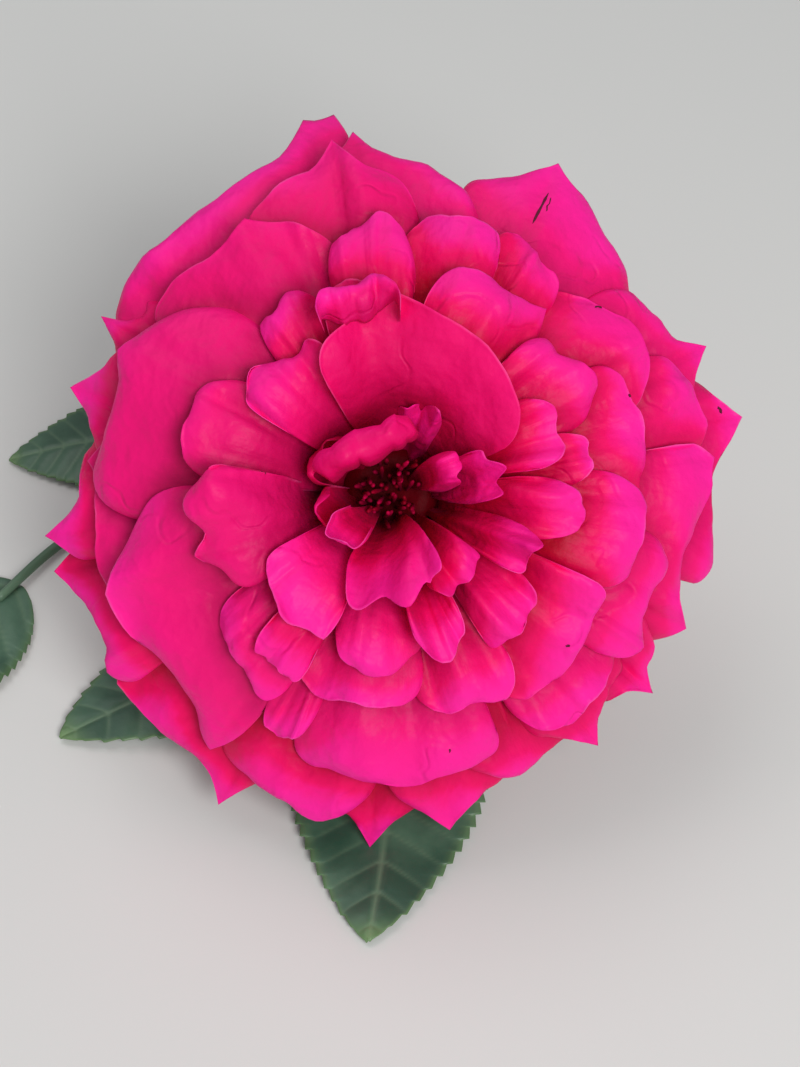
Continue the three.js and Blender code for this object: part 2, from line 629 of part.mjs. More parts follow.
// One sepal: a narrow pointed blade that leaves the hip's shoulder and bends back
function makeSepal(phi) {
  const out = new THREE.Vector3(Math.cos(phi), Math.sin(phi), 0);
  const side = new THREE.Vector3(-Math.sin(phi), Math.cos(phi), 0);
  const grid = [];
  for (let i = 0; i <= 5; i += 1) {
    const t = i / 5;
    const turn = deg(100) * t;
    const run = SEPAL_LENGTH / deg(100);
    const middle = out.clone().multiplyScalar(HIP_RADIUS - 1.5 + run * Math.sin(turn));
    middle.z = -3.4 - run * (1 - Math.cos(turn)) * 0.8;
    const half = 0.5 * SEPAL_WIDTH * (1 - t) ** 0.8 * (0.75 + 0.6 * t) + 0.25;
    grid.push([-1, 0, 1].map((s) => middle.clone().addScaledVector(side, s * half)));
  }
  return slab(grid, SEPAL_THICK);
}

// Turns the bloom's own frame (right, up, towards the viewer) into the lying position
const lay = new THREE.Matrix4().makeBasis(
  new THREE.Vector3(1, 0, 0),
  new THREE.Vector3(0, Math.sin(deg(LOOK_UP_DEG)), Math.cos(deg(LOOK_UP_DEG))),
  new THREE.Vector3(0, -Math.cos(deg(LOOK_UP_DEG)), Math.sin(deg(LOOK_UP_DEG))),
).setPosition(0, 0, BASE_HEIGHT);

// Stem: down the bloom's axis, round a bend and along the surface to the cut end
function stemPath() {
  const points = [];
  const start = new THREE.Vector3(0, 0, -HIP_LENGTH - GAP).applyMatrix4(lay);
  const tilt = deg(LOOK_UP_DEG);
  const drop = start.z - STEM_RADIUS;
  const lead = Math.max(0, (drop - STEM_BEND * (1 - Math.cos(tilt))) / Math.sin(tilt));
  const down = new THREE.Vector3(0, Math.cos(tilt), -Math.sin(tilt));
  const bendStart = start.clone().addScaledVector(down, lead);
  points.push(start);
  for (let i = 0; i <= 6; i += 1) {
    const turn = tilt * (1 - i / 6);
    const y = bendStart.y + STEM_BEND * (Math.sin(tilt) - Math.sin(turn));
    const z = bendStart.z - STEM_BEND * (Math.cos(turn) - Math.cos(tilt));
    if (i > 0 || lead > 0.5) points.push(new THREE.Vector3(0, y, z));
  }
  const end = points[points.length - 1];
  points.push(new THREE.Vector3(-1.5, end.y + 0.5 * STEM_RUN, end.z));
  points.push(new THREE.Vector3(-1.5, end.y + STEM_RUN, end.z));
  return points;
}

// One leaflet lying on the surface: base point, heading (degrees from X), length, width
function leaflet(x, y, heading, length, width, seed) {
  const phi = deg(heading);
  const along = new THREE.Vector3(Math.cos(phi), Math.sin(phi), 0);
  const side = new THREE.Vector3(-Math.sin(phi), Math.cos(phi), 0);
  const grid = [];
  for (let i = 0; i <= 2 * TEETH; i += 1) {
    const t = i / (2 * TEETH);
    const belly = Math.sin(Math.PI * t ** 0.86) ** 0.75 * (1 - 0.25 * t);
    const bite = i % 2 === 0 ? TOOTH_FOOT : TOOTH_TOP;
    const half = Math.max(LEAST_HALF, 0.56 * width * belly * bite);
    const lean = i % 2 === 0 ? 0 : TOOTH_LEAN * length;
    const rise = BLADE_LIFT + BLADE_ARCH * Math.sin(Math.PI * t) + 0.4 * Math.sin(7 * t + seed);
    grid.push([-1, 0, 1].map((s) => {
      const place = t * length + lean * Math.abs(s) - 0.05 * length * Math.abs(s) * (1 - t);
      const point = new THREE.Vector3(x, y, 0).addScaledVector(along, place);
      point.addScaledVector(side, s * half + 0.06 * length * Math.sin(Math.PI * t) * Math.sin(seed));
      const droop = Math.abs(s) * (0.55 + 0.45 * Math.cos(5 * t + 2 * seed + s));
      point.z = BLADE_THICK / 2 + rise * (1 - 0.75 * droop) + LEAF_CLEAR;
      return point;
    }));
  }
  return slab(grid, BLADE_THICK);
}

// Leaf stalk lying on the surface through a list of [x, y, z]
function stalk(points) {
  const curve = new THREE.CatmullRomCurve3(points.map((p) => new THREE.Vector3(...p)));
  const path = curve.getPoints(8);
  return tube(path, path.map((point, i) => VEIN_RADIUS * (1 + STALK_TAPER * (1 - i / 8))), 8);
}

// Leaf under the bloom: end leaflet towards the viewer and one on each side
function makeFrontLeaf() {
  let solid = stalk([[3.4, 46.7, 4.6], [4.6, 36, 2.2], [-2, 22, 1.6], [-6.5, 8, 1.8], [-4, -10, 2.2]]);
  solid = solid.add(leaflet(-3.6, -5, 270, 58, 35, 1.0));
  solid = solid.add(leaflet(-10, 15, 217, 60, 33, 2.2));
  return solid.add(leaflet(-3, 16, 12, 50, 32, 3.1));
}

// Leaf to the left: a long stalk with a side leaflet and an end leaflet
function makeLeftLeaf() {
  let solid = stalk([[-4.0, 59.7, 3.1], [-22, 51, 1.6], [-43, 40, 1.5], [-61, 25, 1.6], [-72, 10, 2.2]]);
  solid = solid.add(leaflet(-32, 49.5, 184, 42, 26, 4.0));
  return solid.add(leaflet(-70, 13, 234, 46, 31, 5.2));
}

// The space a petal keeps free round itself
function clearance(grid, thick) {
  const wide = slab(widened(grid, GAP), thick + 2 * GAP, gridNormals(grid));
  return wide.add(slab(grid, thick + 0.3 * GAP));
}

// Box round a small body, larger by a margin on every side
function boxRound(body, margin) {
  const { min, max } = body.boundingBox();
  const size = [0, 1, 2].map((k) => max[k] - min[k] + 2 * margin);
  const geometry = new THREE.BoxGeometry(...size);
  geometry.translate(...[0, 1, 2].map((k) => (min[k] + max[k]) / 2));
  geometry.deleteAttribute('normal');
  geometry.deleteAttribute('uv');
  const merged = mergeVertices(geometry);
  return solidOf(merged.attributes.position.array, merged.index.array);
}

// Takes out of the second of two solids whatever they still share
function nick(first, second) {
  const shared = first.intersect(second);
  if (shared.volume() < LEAST_SHARED) return second;
  let solid = second;
  for (const body of shared.decompose()) {
    if (body.volume() > 0.1 * LEAST_SHARED) solid = solid.subtract(boxRound(body, 0.5 * GAP));
  }
  return largest(solid);
}

// Petals from the inside out, each cut clear of the ones that lie inside it
function makePetals(obstacles, ceiling) {
  const petals = PETALS.map(petalOf).sort((a, b) => a.reach - b.reach);
  const made = [];
  for (const petal of petals) {
    const large = petal.reach > 40;
    const rows = large ? [0, 0.25, 0.5, 0.7, 0.86, 1] : [0, 0.28, 0.55, 0.8, 1];
    const grid = settle(ceiling, petalGrid(petal, large ? 8 : 6, rows), PETAL_THICK);
    lowerCeiling(ceiling, grid);
    let solid = slab(grid, PETAL_THICK);
    for (const obstacle of obstacles) {
      if (meet(solid, obstacle)) solid = solid.subtract(obstacle);
    }
    solid = largest(solid);
    for (const [, other] of made) {
      if (meet(solid, other)) solid = nick(other, solid);
    }
    made.push([petal.name, solid]);
    obstacles.push(clearance(grid, PETAL_THICK));
  }
  return made;
}

// Heart: small petals joined at the foot to a low disc
function makeHeart() {
  const petals = HEART.map(petalOf).sort((a, b) => a.reach - b.reach);
  let solid = turned(CORE, 20);
  const wide = [turned(CORE.map(([radius, height]) => [radius + GAP, height + (height > 20 ? GAP : 0)]), 20)];
  const ceiling = new Float32Array(RINGS * SECTORS).fill(1000);
  for (const petal of petals) {
    const grid = settle(ceiling, petalGrid(petal, 5, [0, 0.4, 0.7, 0.88, 1], true), HEART_THICK);
    lowerCeiling(ceiling, grid);
    solid = solid.add(slab(grid, HEART_THICK));
    wide.push(clearance(grid, HEART_THICK));
  }
  return { solid: withoutHollows(solid), wide, ceiling };
}

// Geometry of a solid
function geometryOf(solid) {
  const data = solid.getMesh();
  const geometry = new THREE.BufferGeometry();
  geometry.setAttribute('position', new THREE.BufferAttribute(new Float32Array(data.vertProperties), 3));
  geometry.setIndex(new THREE.BufferAttribute(new Uint32Array(data.triVerts), 1));
  return mergeVertices(geometry, WELD);
}

// Named mesh of a solid with its own material; scraps that hang by a hair are dropped
function meshOf(name, solid, color, roughness) {
  const welded = geometryOf(solid.simplify(FINEST));
  const geometry = geometryOf(largest(solidOf(welded.attributes.position.array, welded.index.array)));
  geometry.computeVertexNormals();
  const mesh = new THREE.Mesh(geometry, new THREE.MeshStandardMaterial({ color, roughness }));
  mesh.name = name;
  return mesh;
}

// The flower head, in its own frame: right, up, towards the viewer
function makeBloom() {
  const bloom = new THREE.Group();
  bloom.matrix.copy(lay);
  bloom.matrix.decompose(bloom.position, bloom.quaternion, bloom.scale);
  const hip = makeHip();
  const heart = makeHeart();
  for (const [name, solid] of makePetals([hip, ...heart.wide], heart.ceiling)) {
    bloom.add(meshOf(name, solid, name.startsWith('guard') ? GUARD_PINK : PETAL_PINK, 0.6));
  }
  bloom.add(meshOf('heart_petals', heart.solid, HEART_RED, 0.6));
  bloom.add(meshOf('hip_and_sepals', withoutHollows(hip), STEM_GREEN, 0.7));
  return bloom;
}

// The whole piece, with its footprint centred on the origin
function build() {
  const group = new THREE.Group();
  group.name = 'rose_bloom_on_cut_stem';
  const piece = new THREE.Group();
  group.add(piece);
  piece.add(makeBloom());
  const path = stemPath();
  piece.add(meshOf('cut_stem', tube(path, path.map(() => STEM_RADIUS), 14), STEM_GREEN, 0.65));
  piece.add(meshOf('front_leaf', withoutHollows(makeFrontLeaf()), LEAF_GREEN, 0.6));
  piece.add(meshOf('left_leaf', withoutHollows(makeLeftLeaf()), LEAF_GREEN, 0.6));
  group.updateMatrixWorld(true);
  const box = new THREE.Box3().setFromObject(piece, true);
  const centre = box.getCenter(new THREE.Vector3());
  piece.position.set(-centre.x, -centre.y, -box.min.z);
  return group;
}

export default build();
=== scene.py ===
# %% [markdown]
# A full double rose, cut with a short stem and two leaves, lying on a pale table.
# The solids of the part are loaded first, as the frame that every finished piece is fitted to.

# %% Load the solids
import math
import bpy
import numpy as np
from mathutils import Matrix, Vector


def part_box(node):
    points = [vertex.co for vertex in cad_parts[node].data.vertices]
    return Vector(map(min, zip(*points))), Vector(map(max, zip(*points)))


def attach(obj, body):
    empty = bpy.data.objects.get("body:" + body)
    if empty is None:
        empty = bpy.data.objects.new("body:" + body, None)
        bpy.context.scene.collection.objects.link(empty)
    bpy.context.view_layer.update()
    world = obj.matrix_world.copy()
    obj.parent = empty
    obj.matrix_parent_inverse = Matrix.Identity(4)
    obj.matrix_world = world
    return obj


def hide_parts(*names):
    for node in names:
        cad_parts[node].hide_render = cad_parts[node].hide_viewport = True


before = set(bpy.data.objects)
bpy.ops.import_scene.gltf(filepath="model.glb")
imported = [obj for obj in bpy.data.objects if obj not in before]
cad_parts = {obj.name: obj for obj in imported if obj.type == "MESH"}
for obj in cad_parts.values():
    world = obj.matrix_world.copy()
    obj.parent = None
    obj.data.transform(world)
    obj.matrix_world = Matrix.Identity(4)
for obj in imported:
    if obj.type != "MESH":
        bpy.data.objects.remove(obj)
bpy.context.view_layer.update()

# %% [markdown]
# All sizes are in millimetres until the last step of each piece, which turns them into metres.
# The bloom has its own axes: right, up and towards the viewer. Its face is turned up by 48
# degrees, and its foot is found from the stem's solid, which starts on the bloom's axis.

# %% Driving sizes and the bloom's place
MM = 0.001
LOOK_UP = math.radians(48)
EYE, RIMS = 425, 25  # heights over the bloom's foot of the viewer's eye and of the outer rims
BASE_HEIGHT = 41.5
HIP_LENGTH, HIP_RADIUS = 13.0, 5.6
STEM_RADIUS, STEM_BEND, STEM_RUN, STEM_ASIDE = 2.3, 34.0, 30.0, 1.5
STEM_SIDES = 14  # of the faceted solid, which lies on one of its flats
GAP = 0.34
RIGHT = np.array([1.0, 0.0, 0.0])
UP = np.array([0.0, math.sin(LOOK_UP), math.cos(LOOK_UP)])
FRONT = np.array([0.0, -math.cos(LOOK_UP), math.sin(LOOK_UP)])


def stem_points(n_bend=24, n_run=12):
    """Middle line of the stem: straight down the bloom's axis, an arc, then along the table."""
    start = np.array([0, 0, BASE_HEIGHT]) - FRONT * (HIP_LENGTH + GAP)
    lead = (start[2] - STEM_RADIUS - STEM_BEND * (1 - math.cos(LOOK_UP))) / math.sin(LOOK_UP)
    bend_start = start - FRONT * lead
    turn = LOOK_UP * (1 - np.linspace(0, 1, n_bend))
    arc = np.stack([0 * turn, bend_start[1] + STEM_BEND * (math.sin(LOOK_UP) - np.sin(turn)),
                    bend_start[2] - STEM_BEND * (np.cos(turn) - math.cos(LOOK_UP))], -1)
    run = np.linspace(0, 1, n_run + 1)[1:, None]
    straight = arc[-1] + run * np.array([0, STEM_RUN, 0])
    straight[:, 0] = -STEM_ASIDE * np.clip(2 * run[:, 0], 0, 1)
    first = start + (bend_start - start) * np.linspace(0, 1, 6)[:, None]
    return np.vstack([first[:-1], arc, straight])


STEM = stem_points()
stem_low, stem_high = (np.array(corner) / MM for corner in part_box("cut_stem"))
STEM_FLAT = STEM_RADIUS * (1 - math.cos(math.pi / STEM_SIDES))
SHIFT = np.array([stem_high[0] - STEM_RADIUS, stem_high[1] - STEM[-1, 1], stem_low[2] - STEM_FLAT])
FOOT = SHIFT + np.array([0, 0, BASE_HEIGHT])
print("foot of the bloom at", FOOT.round(2), "mm")


def from_bloom(points):
    """Place in the part's frame, in mm, of points given as (right, up, front) in the bloom."""
    return FOOT + points[..., :1] * RIGHT + points[..., 1:2] * UP + points[..., 2:] * FRONT


# %% [markdown]
# Every petal is one row of a table: where it points, how wide it fans, how far its rim
# reaches as seen from in front, and what sets it apart. Guards are the outermost ring, whose
# tips make the bloom's jagged outline. The same places and reaches shaped the solids; the rows
# here add the curls, hollows and creases that are too fine for a solid.

# %% The table of petals
GUARD, OUTER, INNER = "guard_petal_%02d", "outer_petal_%02d", "inner_petal_%02d"
# A row's shade is painted shade: it darkens the petal's colour as if it lay in shade, and below zero it
# paints the petal lighter.
TABLE = {
    GUARD: [
        (122.4, 26, 54.0, dict(square=6, side=0.88, tips=[(-0.74, 5.6), (-0.92, 6.2)], sharp=0.17,
            lift=-2.6, folds=[(-0.83, -0.8)])),
        (87, 17, 52.6, dict(square=4, skew=0.05, tips=[(0.52, 4)], lift=-2)),
        (57, 19.5, 54.0, dict(square=2.5, side=0.88, skew=0.025, tips=[(0.3, 3.6)], lift=-1,
            roll_length=6)),
        (30, 15, 51.2, dict(square=4, tips=[(-0.35, 3.3)], lift=-4)),
        (2, 19, 52.4, dict(square=5, side=0.9, tips=[(0.53, 4)], sharp=0.18, lift=-3)),
        (-36.5, 12, 48.6, dict(tips=[(-0.05, 3.6)], side=0.8, lift=-4)),
        (-47.5, 13, 48.2, dict(tips=[(-0.25, 3.2)], side=0.8, lift=-3)),
        (-62, 16, 49.2, dict(side=0.7, lift=-1.8)),
        (-78, 16, 50.8, dict(tips=[(-0.15, 3)], lift=-2.5)),
        (-95, 16, 52.1, dict(tips=[(0.1, 4.2)], lift=-4)),
        (251, 18, 52.2, dict(side=0.7, lift=-1)),
        (229, 18.5, 52.2, dict(square=5, side=0.82, tips=[(0.67, 5.5), (-0.74, 1)], lift=-3)),
        (203, 14, 51.8, dict(square=6, side=0.85, tips=[(-0.7, 2.6), (0.68, 1)], lift=-2.5)),
        (179, 14, 49.9, dict(square=5, side=0.88, skew=0.03, tips=[(0.6, 3.6)], lift=-4)),
        (161, 14, 49.0, dict(tips=[(0.05, 4.2)], side=0.8, sharp=0.25, lift=-3.5)),
        (149, 9, 49.6, dict(tips=[(0, 3.4)], side=0.8, lift=-5)),
    ],
    OUTER: [
        (103, 20, 51.0, dict(square=4, skew=-0.01, tips=[(-0.17, 4.8)], folds=[(-0.3, 1.6)], lift=-1,
            shade=0.3)),
        (123, 22, 46.8, dict(square=3.5, skew=0.09, side=0.8, tips=[(-0.22, 2.4)], folds=[(-0.2, 1.3)],
            lift=0.3, shade=0.4)),
        (157.5, 31, 46.0, dict(skew=0.06, tips=[(-0.16, 2)], sharp=0.2, roll=70, roll_length=7, shade=0.3)),
        (186, 19, 47.2, dict(square=4, side=0.8, tips=[(-0.6, 2.2)], lift=-2, shade=0.4)),
        (210, 31, 44.9, dict(side=0.62, skew=0.1, tips=[(-0.3, 2), (0.83, 6)], sharp=0.2,
            roll=70, roll_length=7, shade=0.2)),
        (271.5, 23, 46.6, dict(square=4, side=0.78, roll=75, roll_length=7, lift=-0.5)),
        (312.5, 14, 46.6, dict(square=2.5, side=0.8, lift=-0.6)),
        (337, 15, 45.4, dict(square=4, side=0.75, lift=-1)),
        (-11, 20, 48.9, dict(square=6, side=0.9, tips=[(0.84, 2.2), (-0.7, 2.8)], lift=-1.5)),
        (15, 15, 50.5, dict(square=4, lift=-2)),
        (36, 18, 46.2, dict(square=2.4, side=0.75, skew=-0.03, lift=-0.3)),
        (14, 18, 41.8, dict(square=2.5, side=0.8, lift=-0.3)),
    ],
    INNER: [
        (77, 13, 44.8, dict(square=2.5, side=0.7, skew=-0.05, lift=-0.5)),
        (58.4, 10.8, 45.0, dict(square=2.5, side=0.8, skew=0.04, lift=-0.3)),
        (61, 18, 36.8, dict(side=0.7, tips=[(-0.7, 3)])),
        (95, 11.5, 42.6, dict(square=2.5, side=0.75, lift=-0.5)),
        (119, 12, 35.6, dict(square=2.5, lift=-0.2)),
        (99, 13, 33.9, dict()),
        (70, 51, 28.2, dict(square=2.5, side=0.66, skew=0.05, tips=[(0.34, 2)], lift=2, roll=25,
            folds=[(0.55, -3)], hollow=3.2, sway=0, shade=0.5)),
        (131, 20, 28.5, dict(skew=0.1, lift=1, roll=75, roll_length=6, folds=[(0.1, -1.4)])),
        (161, 19, 33.9, dict(shade=0.3)),
        (195, 22, 30.0, dict(square=4, side=0.7, tips=[(0.25, 2)], sharp=0.2, lift=0.5, steep=0.45,
            hollow=2.5, roll=110, roll_length=7, shade=0.4)),
        (228, 15, 37.2, dict(skew=0.09, side=0.75)),
        (228, 21, 25.5, dict(side=0.7, skew=0.05, tips=[(0.85, 1.6)])),
        (265, 19, 29.2, dict(square=2.3, side=0.65)),
        (246, 7, 43.2, dict(lift=1)),
        (262, 20, 34.6, dict(side=0.75, lift=-0.7)),
        (290, 15.5, 37.4, dict(side=0.7, skew=0.05, lift=0.3)),
        (315, 13, 30.8, dict(side=0.75, skew=-0.1, ruffle=0.7)),
        (288, 11, 27.8, dict(lift=0.5)),
        (317, 19, 39.9, dict(side=0.8, lift=-0.3)),
        (-11, 17, 41.2, dict(square=2.4, side=0.65, lift=0.3)),
        (23, 14, 28.7, dict(side=0.75)),
        (9, 10, 32.8, dict(lift=0.5)),
        (-7, 13, 31.0, dict(square=2.2, side=0.6)),
        (34, 15, 35.9, dict(side=0.75)),
        (238, 9, 34.0, dict(side=0.8, skew=0.03, lift=0.8)),
    ],
    "heart_%02d": [
        (9, 18, 17.8, dict(roll=25, ruffle=1.2, waves=2.4, wave=1.6, steep=0.3)),
        (66, 19, 14.4, dict(roll=75, roll_length=6, ruffle=0.7, waves=1.1, steep=0.75, shade=-0.4)),
        (125, 46, 12.4, dict(roll=150, roll_length=7, wave=3.6, waves=1.7, ruffle=0.8, steep=0.9)),
        (152, 24, 15.8, dict(roll=-60, roll_length=6, skew=0.12, ruffle=0.6, waves=1.3, steep=0.8)),
        (196, 22, 14.2, dict(roll=-45, roll_length=6, ruffle=0.9, waves=1.6, steep=0.5)),
        (275, 34, 17.8, dict(skew=-0.08, ruffle=1.2, waves=2.6, wave=2.2, roll=20, tips=[(0.6, 1.6)])),
        (308, 17, 19.4, dict(roll=110, roll_length=7, ruffle=0.9, waves=1.8, steep=0.7)),
        (336, 11, 25.3, dict(skew=-0.06, ruffle=0.8, waves=1.7, steep=0.3)),
        (20, 20, 11.6, dict(roll=130, roll_length=5, ruffle=0.7, waves=1.9, steep=0.8)),
        (226, 21, 13.4, dict(roll=-30, roll_length=6, ruffle=0.8, waves=1.4, steep=0.3)),
    ],
}
LOBE = (99.5, 13, 33.6, dict(square=2.6, side=0.8, lift=-0.8, roll=60, roll_length=5, ruffle=0.7, waves=2.2,
                             wave=0.8, from_t=0.83, close=0.14, order=27.9, dip=7.5, sway=0, hollow=0))
PLAIN = dict(lift=0, side=0.55, square=3, skew=0, tips=[], sharp=0.14, roll=50, roll_length=5,
             ruffle=0, waves=3, wave=0, folds=[], from_t=0.02, close=0, dip=0, steep=0, shade=0)
print("rows of petals:", sum(map(len, TABLE.values())), "and one for the lobe of the hooded petal")

# %% [markdown]
# Each row becomes a petal with a lean, a cup, a hollow and a frill of its own, all drawn from
# its number, which keeps the ring from looking stamped. The reach in a row is what the eye sees
# from in front, so a rim that stands nearer to the eye reaches less far in truth.

# %% From rows to petals
REACH_LOW, REACH_HIGH = 12.0, 57.0
SINK_INNER, SINK_OUTER = 5.0, 12.0
SEAT_INNER, SEAT_OUTER, SEAT_TOP, SEAT_DROP = 3.2, 10.5, 8.0, 7.0


def dome_height(reach):
    """Height of a rim over the foot: a dome of 40 mm that falls away outwards and in the middle."""
    return 40 - 23 * max(0, (reach - 20) / 38) ** 1.6 - 0.35 * max(0, 20 - reach)


def share_of_reach(reach):
    """0 for an innermost petal, 1 for an outermost one."""
    return np.clip((reach - REACH_LOW) / (REACH_HIGH - REACH_LOW), 0, 1.1)


def chance(seed, k):
    """A number from 0 to 1 that depends only on the petal and on k."""
    return (math.sin(12.9898 * seed + 78.233 * k + 1.7) * 43758.5453) % 1


def petal_of(name, row, seed):
    """A petal from its row, with the small differences that make it one of a kind: how far it
    leans round, how it cups and hollows, and how its rim rolls and frills."""
    bearing, spread, seen, extra = row
    inner, size = 1 - min(1, share_of_reach(seen)), min(1.0, seen / 45)
    own = dict(sway=14 * inner * (chance(seed, 20) - 0.5), cup=inner * (3 * chance(seed, 21) - 1),
               tilt=0.8 + 2.6 * (chance(seed, 26) - 0.5), rumple=0.22 + 0.3 * inner,
               hollow=size * (0.3 + 1.5 * chance(seed, 22)), frill=size * (0.35 + 0.6 * chance(seed, 23)))
    petal = {**PLAIN, **own, **extra, "name": name, "bearing": bearing, "spread": spread, "seed": seed}
    if not name.startswith(("guard", "heart")):
        petal["roll"] *= 0.35 + 0.8 * chance(seed, 24)
        petal["roll_length"] *= 0.7 + 0.8 * chance(seed, 25)
    sunk = SINK_INNER + (SINK_OUTER - SINK_INNER) * share_of_reach(seen)
    petal["reach"] = seen * (1 - (dome_height(seen) + petal["lift"] - sunk - RIMS) / (EYE - RIMS))
    return petal


petals = []
for family, rows in TABLE.items():
    for number, row in enumerate(rows, 1):
        seed = len(petals) if family != "heart_%02d" else number + 59
        petals.append(petal_of(family % number, row, seed))
petals.append(petal_of("lobe_of_hood", LOBE, 75))
reaches = [round(p["reach"], 1) for p in petals]
print(len(petals), "petals, reaching", min(reaches), "to", max(reaches), "mm")

# %% [markdown]
# A rose petal stands up from the receptacle, arches over and ends in a rolled rim. Its middle
# line is one cubic curve, and the petal's surface is that line swept through a fan of bearings.
# The functions here give that line, the rim's reach and the small forms that come on top.

# %% The form of a petal


def middle_line(petal):
    """Cubic from the seat, up beside the axis, over the arch and down to the rim, then straight on."""
    x = share_of_reach(petal["reach"])
    height = dome_height(petal["reach"]) + petal["lift"]
    seat = SEAT_INNER + (SEAT_OUTER - SEAT_INNER) * x - 0.12 * petal["lift"]
    upright = petal["steep"] * (0.7 * petal["reach"] - seat)
    p = np.array([[seat, SEAT_TOP - SEAT_DROP * x],
                  [seat + 0.8 + upright, height - 9 + 26 * x],
                  [(0.62 + 0.28 * petal["steep"]) * petal["reach"], height + 22 * x],
                  [petal["reach"], height]])
    q = np.linspace(0, 1, 240)[:, None]
    curve = (1 - q) ** 3 * p[0] + 3 * (1 - q) ** 2 * q * p[1] + 3 * (1 - q) * q * q * p[2] + q**3 * p[3]
    way = (p[3] - p[2]) / np.linalg.norm(p[3] - p[2])
    return np.vstack([curve, p[3] + way * np.linspace(0.2, 14, 60)[:, None]])


def rim_reach(petal, s, gain):
    """Reach at s: a squared-off oval from margin to margin, with its points and waves added."""
    oval = (1 - np.clip(np.abs(s), 0, 1) ** petal["square"]) ** (1 / petal["square"])
    reach = petal["reach"] * gain * (petal["side"] + (1 - petal["side"]) * oval) * (1 + petal["skew"] * s)
    for place, mm in petal["tips"]:
        reach = reach + mm * np.exp(-np.abs(s - place) / petal["sharp"])
    return reach + 0.5 * petal["wave"] * np.sin(petal["waves"] * np.pi * s)


def fine_form(petal, s, t):
    """Height that a living petal adds to the plain form, in mm: a hollow like a spoon's, margins
    that stand up or hang, two slanting creases, rumples, and a frill that dies away inwards."""
    k = petal["seed"]
    size = min(1.0, petal["reach"] / 45) ** 2
    add = -petal["hollow"] * (1 - 0.6 * s * s) * np.sin(np.pi * np.clip(t, 0, 1) ** 1.5)
    add = add + petal["cup"] * s * s * np.clip(t, 0, 1) ** 2
    for n in range(2):
        place = 1.5 * chance(k, n) - 0.75 + (chance(k, n + 30) - 0.5) * (1 - t)
        width = 0.05 + 0.1 * chance(k, n + 3)
        depth = (0.6 + 1.4 * chance(k, n + 6)) * (1 if chance(k, n + 9) > 0.45 else -1)
        add = add + size * depth * np.exp(-(((s - place) / width) ** 2)) * t**3
    rumple = np.sin(5.1 * s + 19 * t + 2 * k) * np.sin(16 * t - 4.2 * s + k)
    rumple = rumple + 0.5 * np.sin(10 * s - 29 * t + 3 * k) * np.sin(26 * t + 6 * s - k)
    add = add + petal["rumple"] * rumple * np.clip(t, 0, 1) ** 2
    slow, quick = 2.4 + 2.6 * chance(k, 12), 6 + 4 * chance(k, 13)
    frill = np.sin(slow * s + 3 * k) + 0.3 * np.sin(quick * s - 5 * k + 3 * t)
    return add + petal["frill"] * frill * t**5


def ragged(petal, s):
    """Unevenness of the rim in mm."""
    k, size = petal["seed"], min(1.0, petal["reach"] / 45) ** 0.6
    slow, quick = 3 + 2.5 * chance(k, 14), 8 + 6 * chance(k, 15)
    uneven = 0.6 * np.sin(slow * s + 1.3 * k) + 0.22 * np.sin(quick * s - 2.1 * k)
    return size * (uneven + 0.07 * np.sin(27 * s + k))


print("a middle line has", len(middle_line(petals[0])), "points")

# %% [markdown]
# Now the form becomes points. Working on whole arrays, instead of on one point after another,
# keeps this quick and lets the rim be as fine as the eye needs.

# %% The points of a petal


def petal_points(petal, s, t, gain=1.0, fine=0.0):
    """Points for places s (margin to margin) and t (seat to rim), as (right, up, front) in mm.
    The middle line gives radius and height, its last stretch is wound on a circle for the
    roll, and the bearing fans out from the seat. Ruffles, folds and small waves come last."""
    line = middle_line(petal)
    length = np.concatenate([[0], np.cumsum(np.linalg.norm(np.diff(line, axis=0), axis=1))])
    whole = np.interp(rim_reach(petal, s, gain) + fine * ragged(petal, s), line[:, 0], length)
    start = np.maximum(whole - petal["roll_length"], 0.4 * whole)
    along = t * whole
    base = np.minimum(along, start)
    d = np.stack([np.interp(base + 0.5, length, line[:, k]) - np.interp(base - 0.5, length, line[:, k])
                  for k in (0, 1)], -1)
    d /= np.linalg.norm(d, axis=-1, keepdims=True)
    k = petal["seed"]
    uneven = 0.4 * np.sin(2.7 * s + 2.2 * k) + 0.3 * np.sin(6.1 * s - k)
    bend = np.radians(petal["roll"]) * (1 + fine * uneven)
    for place, _ in petal["tips"]:
        bend = bend * (1 - 0.75 * np.exp(-(((s - place) / 0.22) ** 2)))
    over = np.clip((along - start) / (whole - start), 0, None)
    radius = (whole - start) / np.where(np.abs(bend) < 1e-3, 1e-3, bend)
    forward, down = radius * np.sin(bend * over), radius * (1 - np.cos(bend * over))
    rho = np.interp(base, length, line[:, 0]) + forward * d[..., 0] + down * d[..., 1]
    w = np.interp(base, length, line[:, 1]) + forward * d[..., 1] - down * d[..., 0]
    fan = 0.6 + 0.4 * np.clip(1.25 * t, 0, 1) ** 0.8
    phi = np.radians(petal["bearing"] + petal["spread"] * s * fan + fine * petal["sway"] * (t**2 - 0.6))
    w = w + petal["tilt"] * s * np.clip(2 * t, 0, 1)
    w = w + petal["ruffle"] * np.sin(petal["waves"] * np.pi * s) * t**4
    for place, mm in petal["folds"]:
        w = w + mm * np.exp(-(((s - place) / 0.16) ** 2)) * t * t
    w = w + 0.25 * t * t * (np.sin(2.3 * s + 1.7 * k + 5 * t) + np.sin(4.1 * s - 2.9 * k - 7 * t))
    w = w + fine * fine_form(petal, s, t)
    return np.stack([rho * np.cos(phi), rho * np.sin(phi), w], -1)


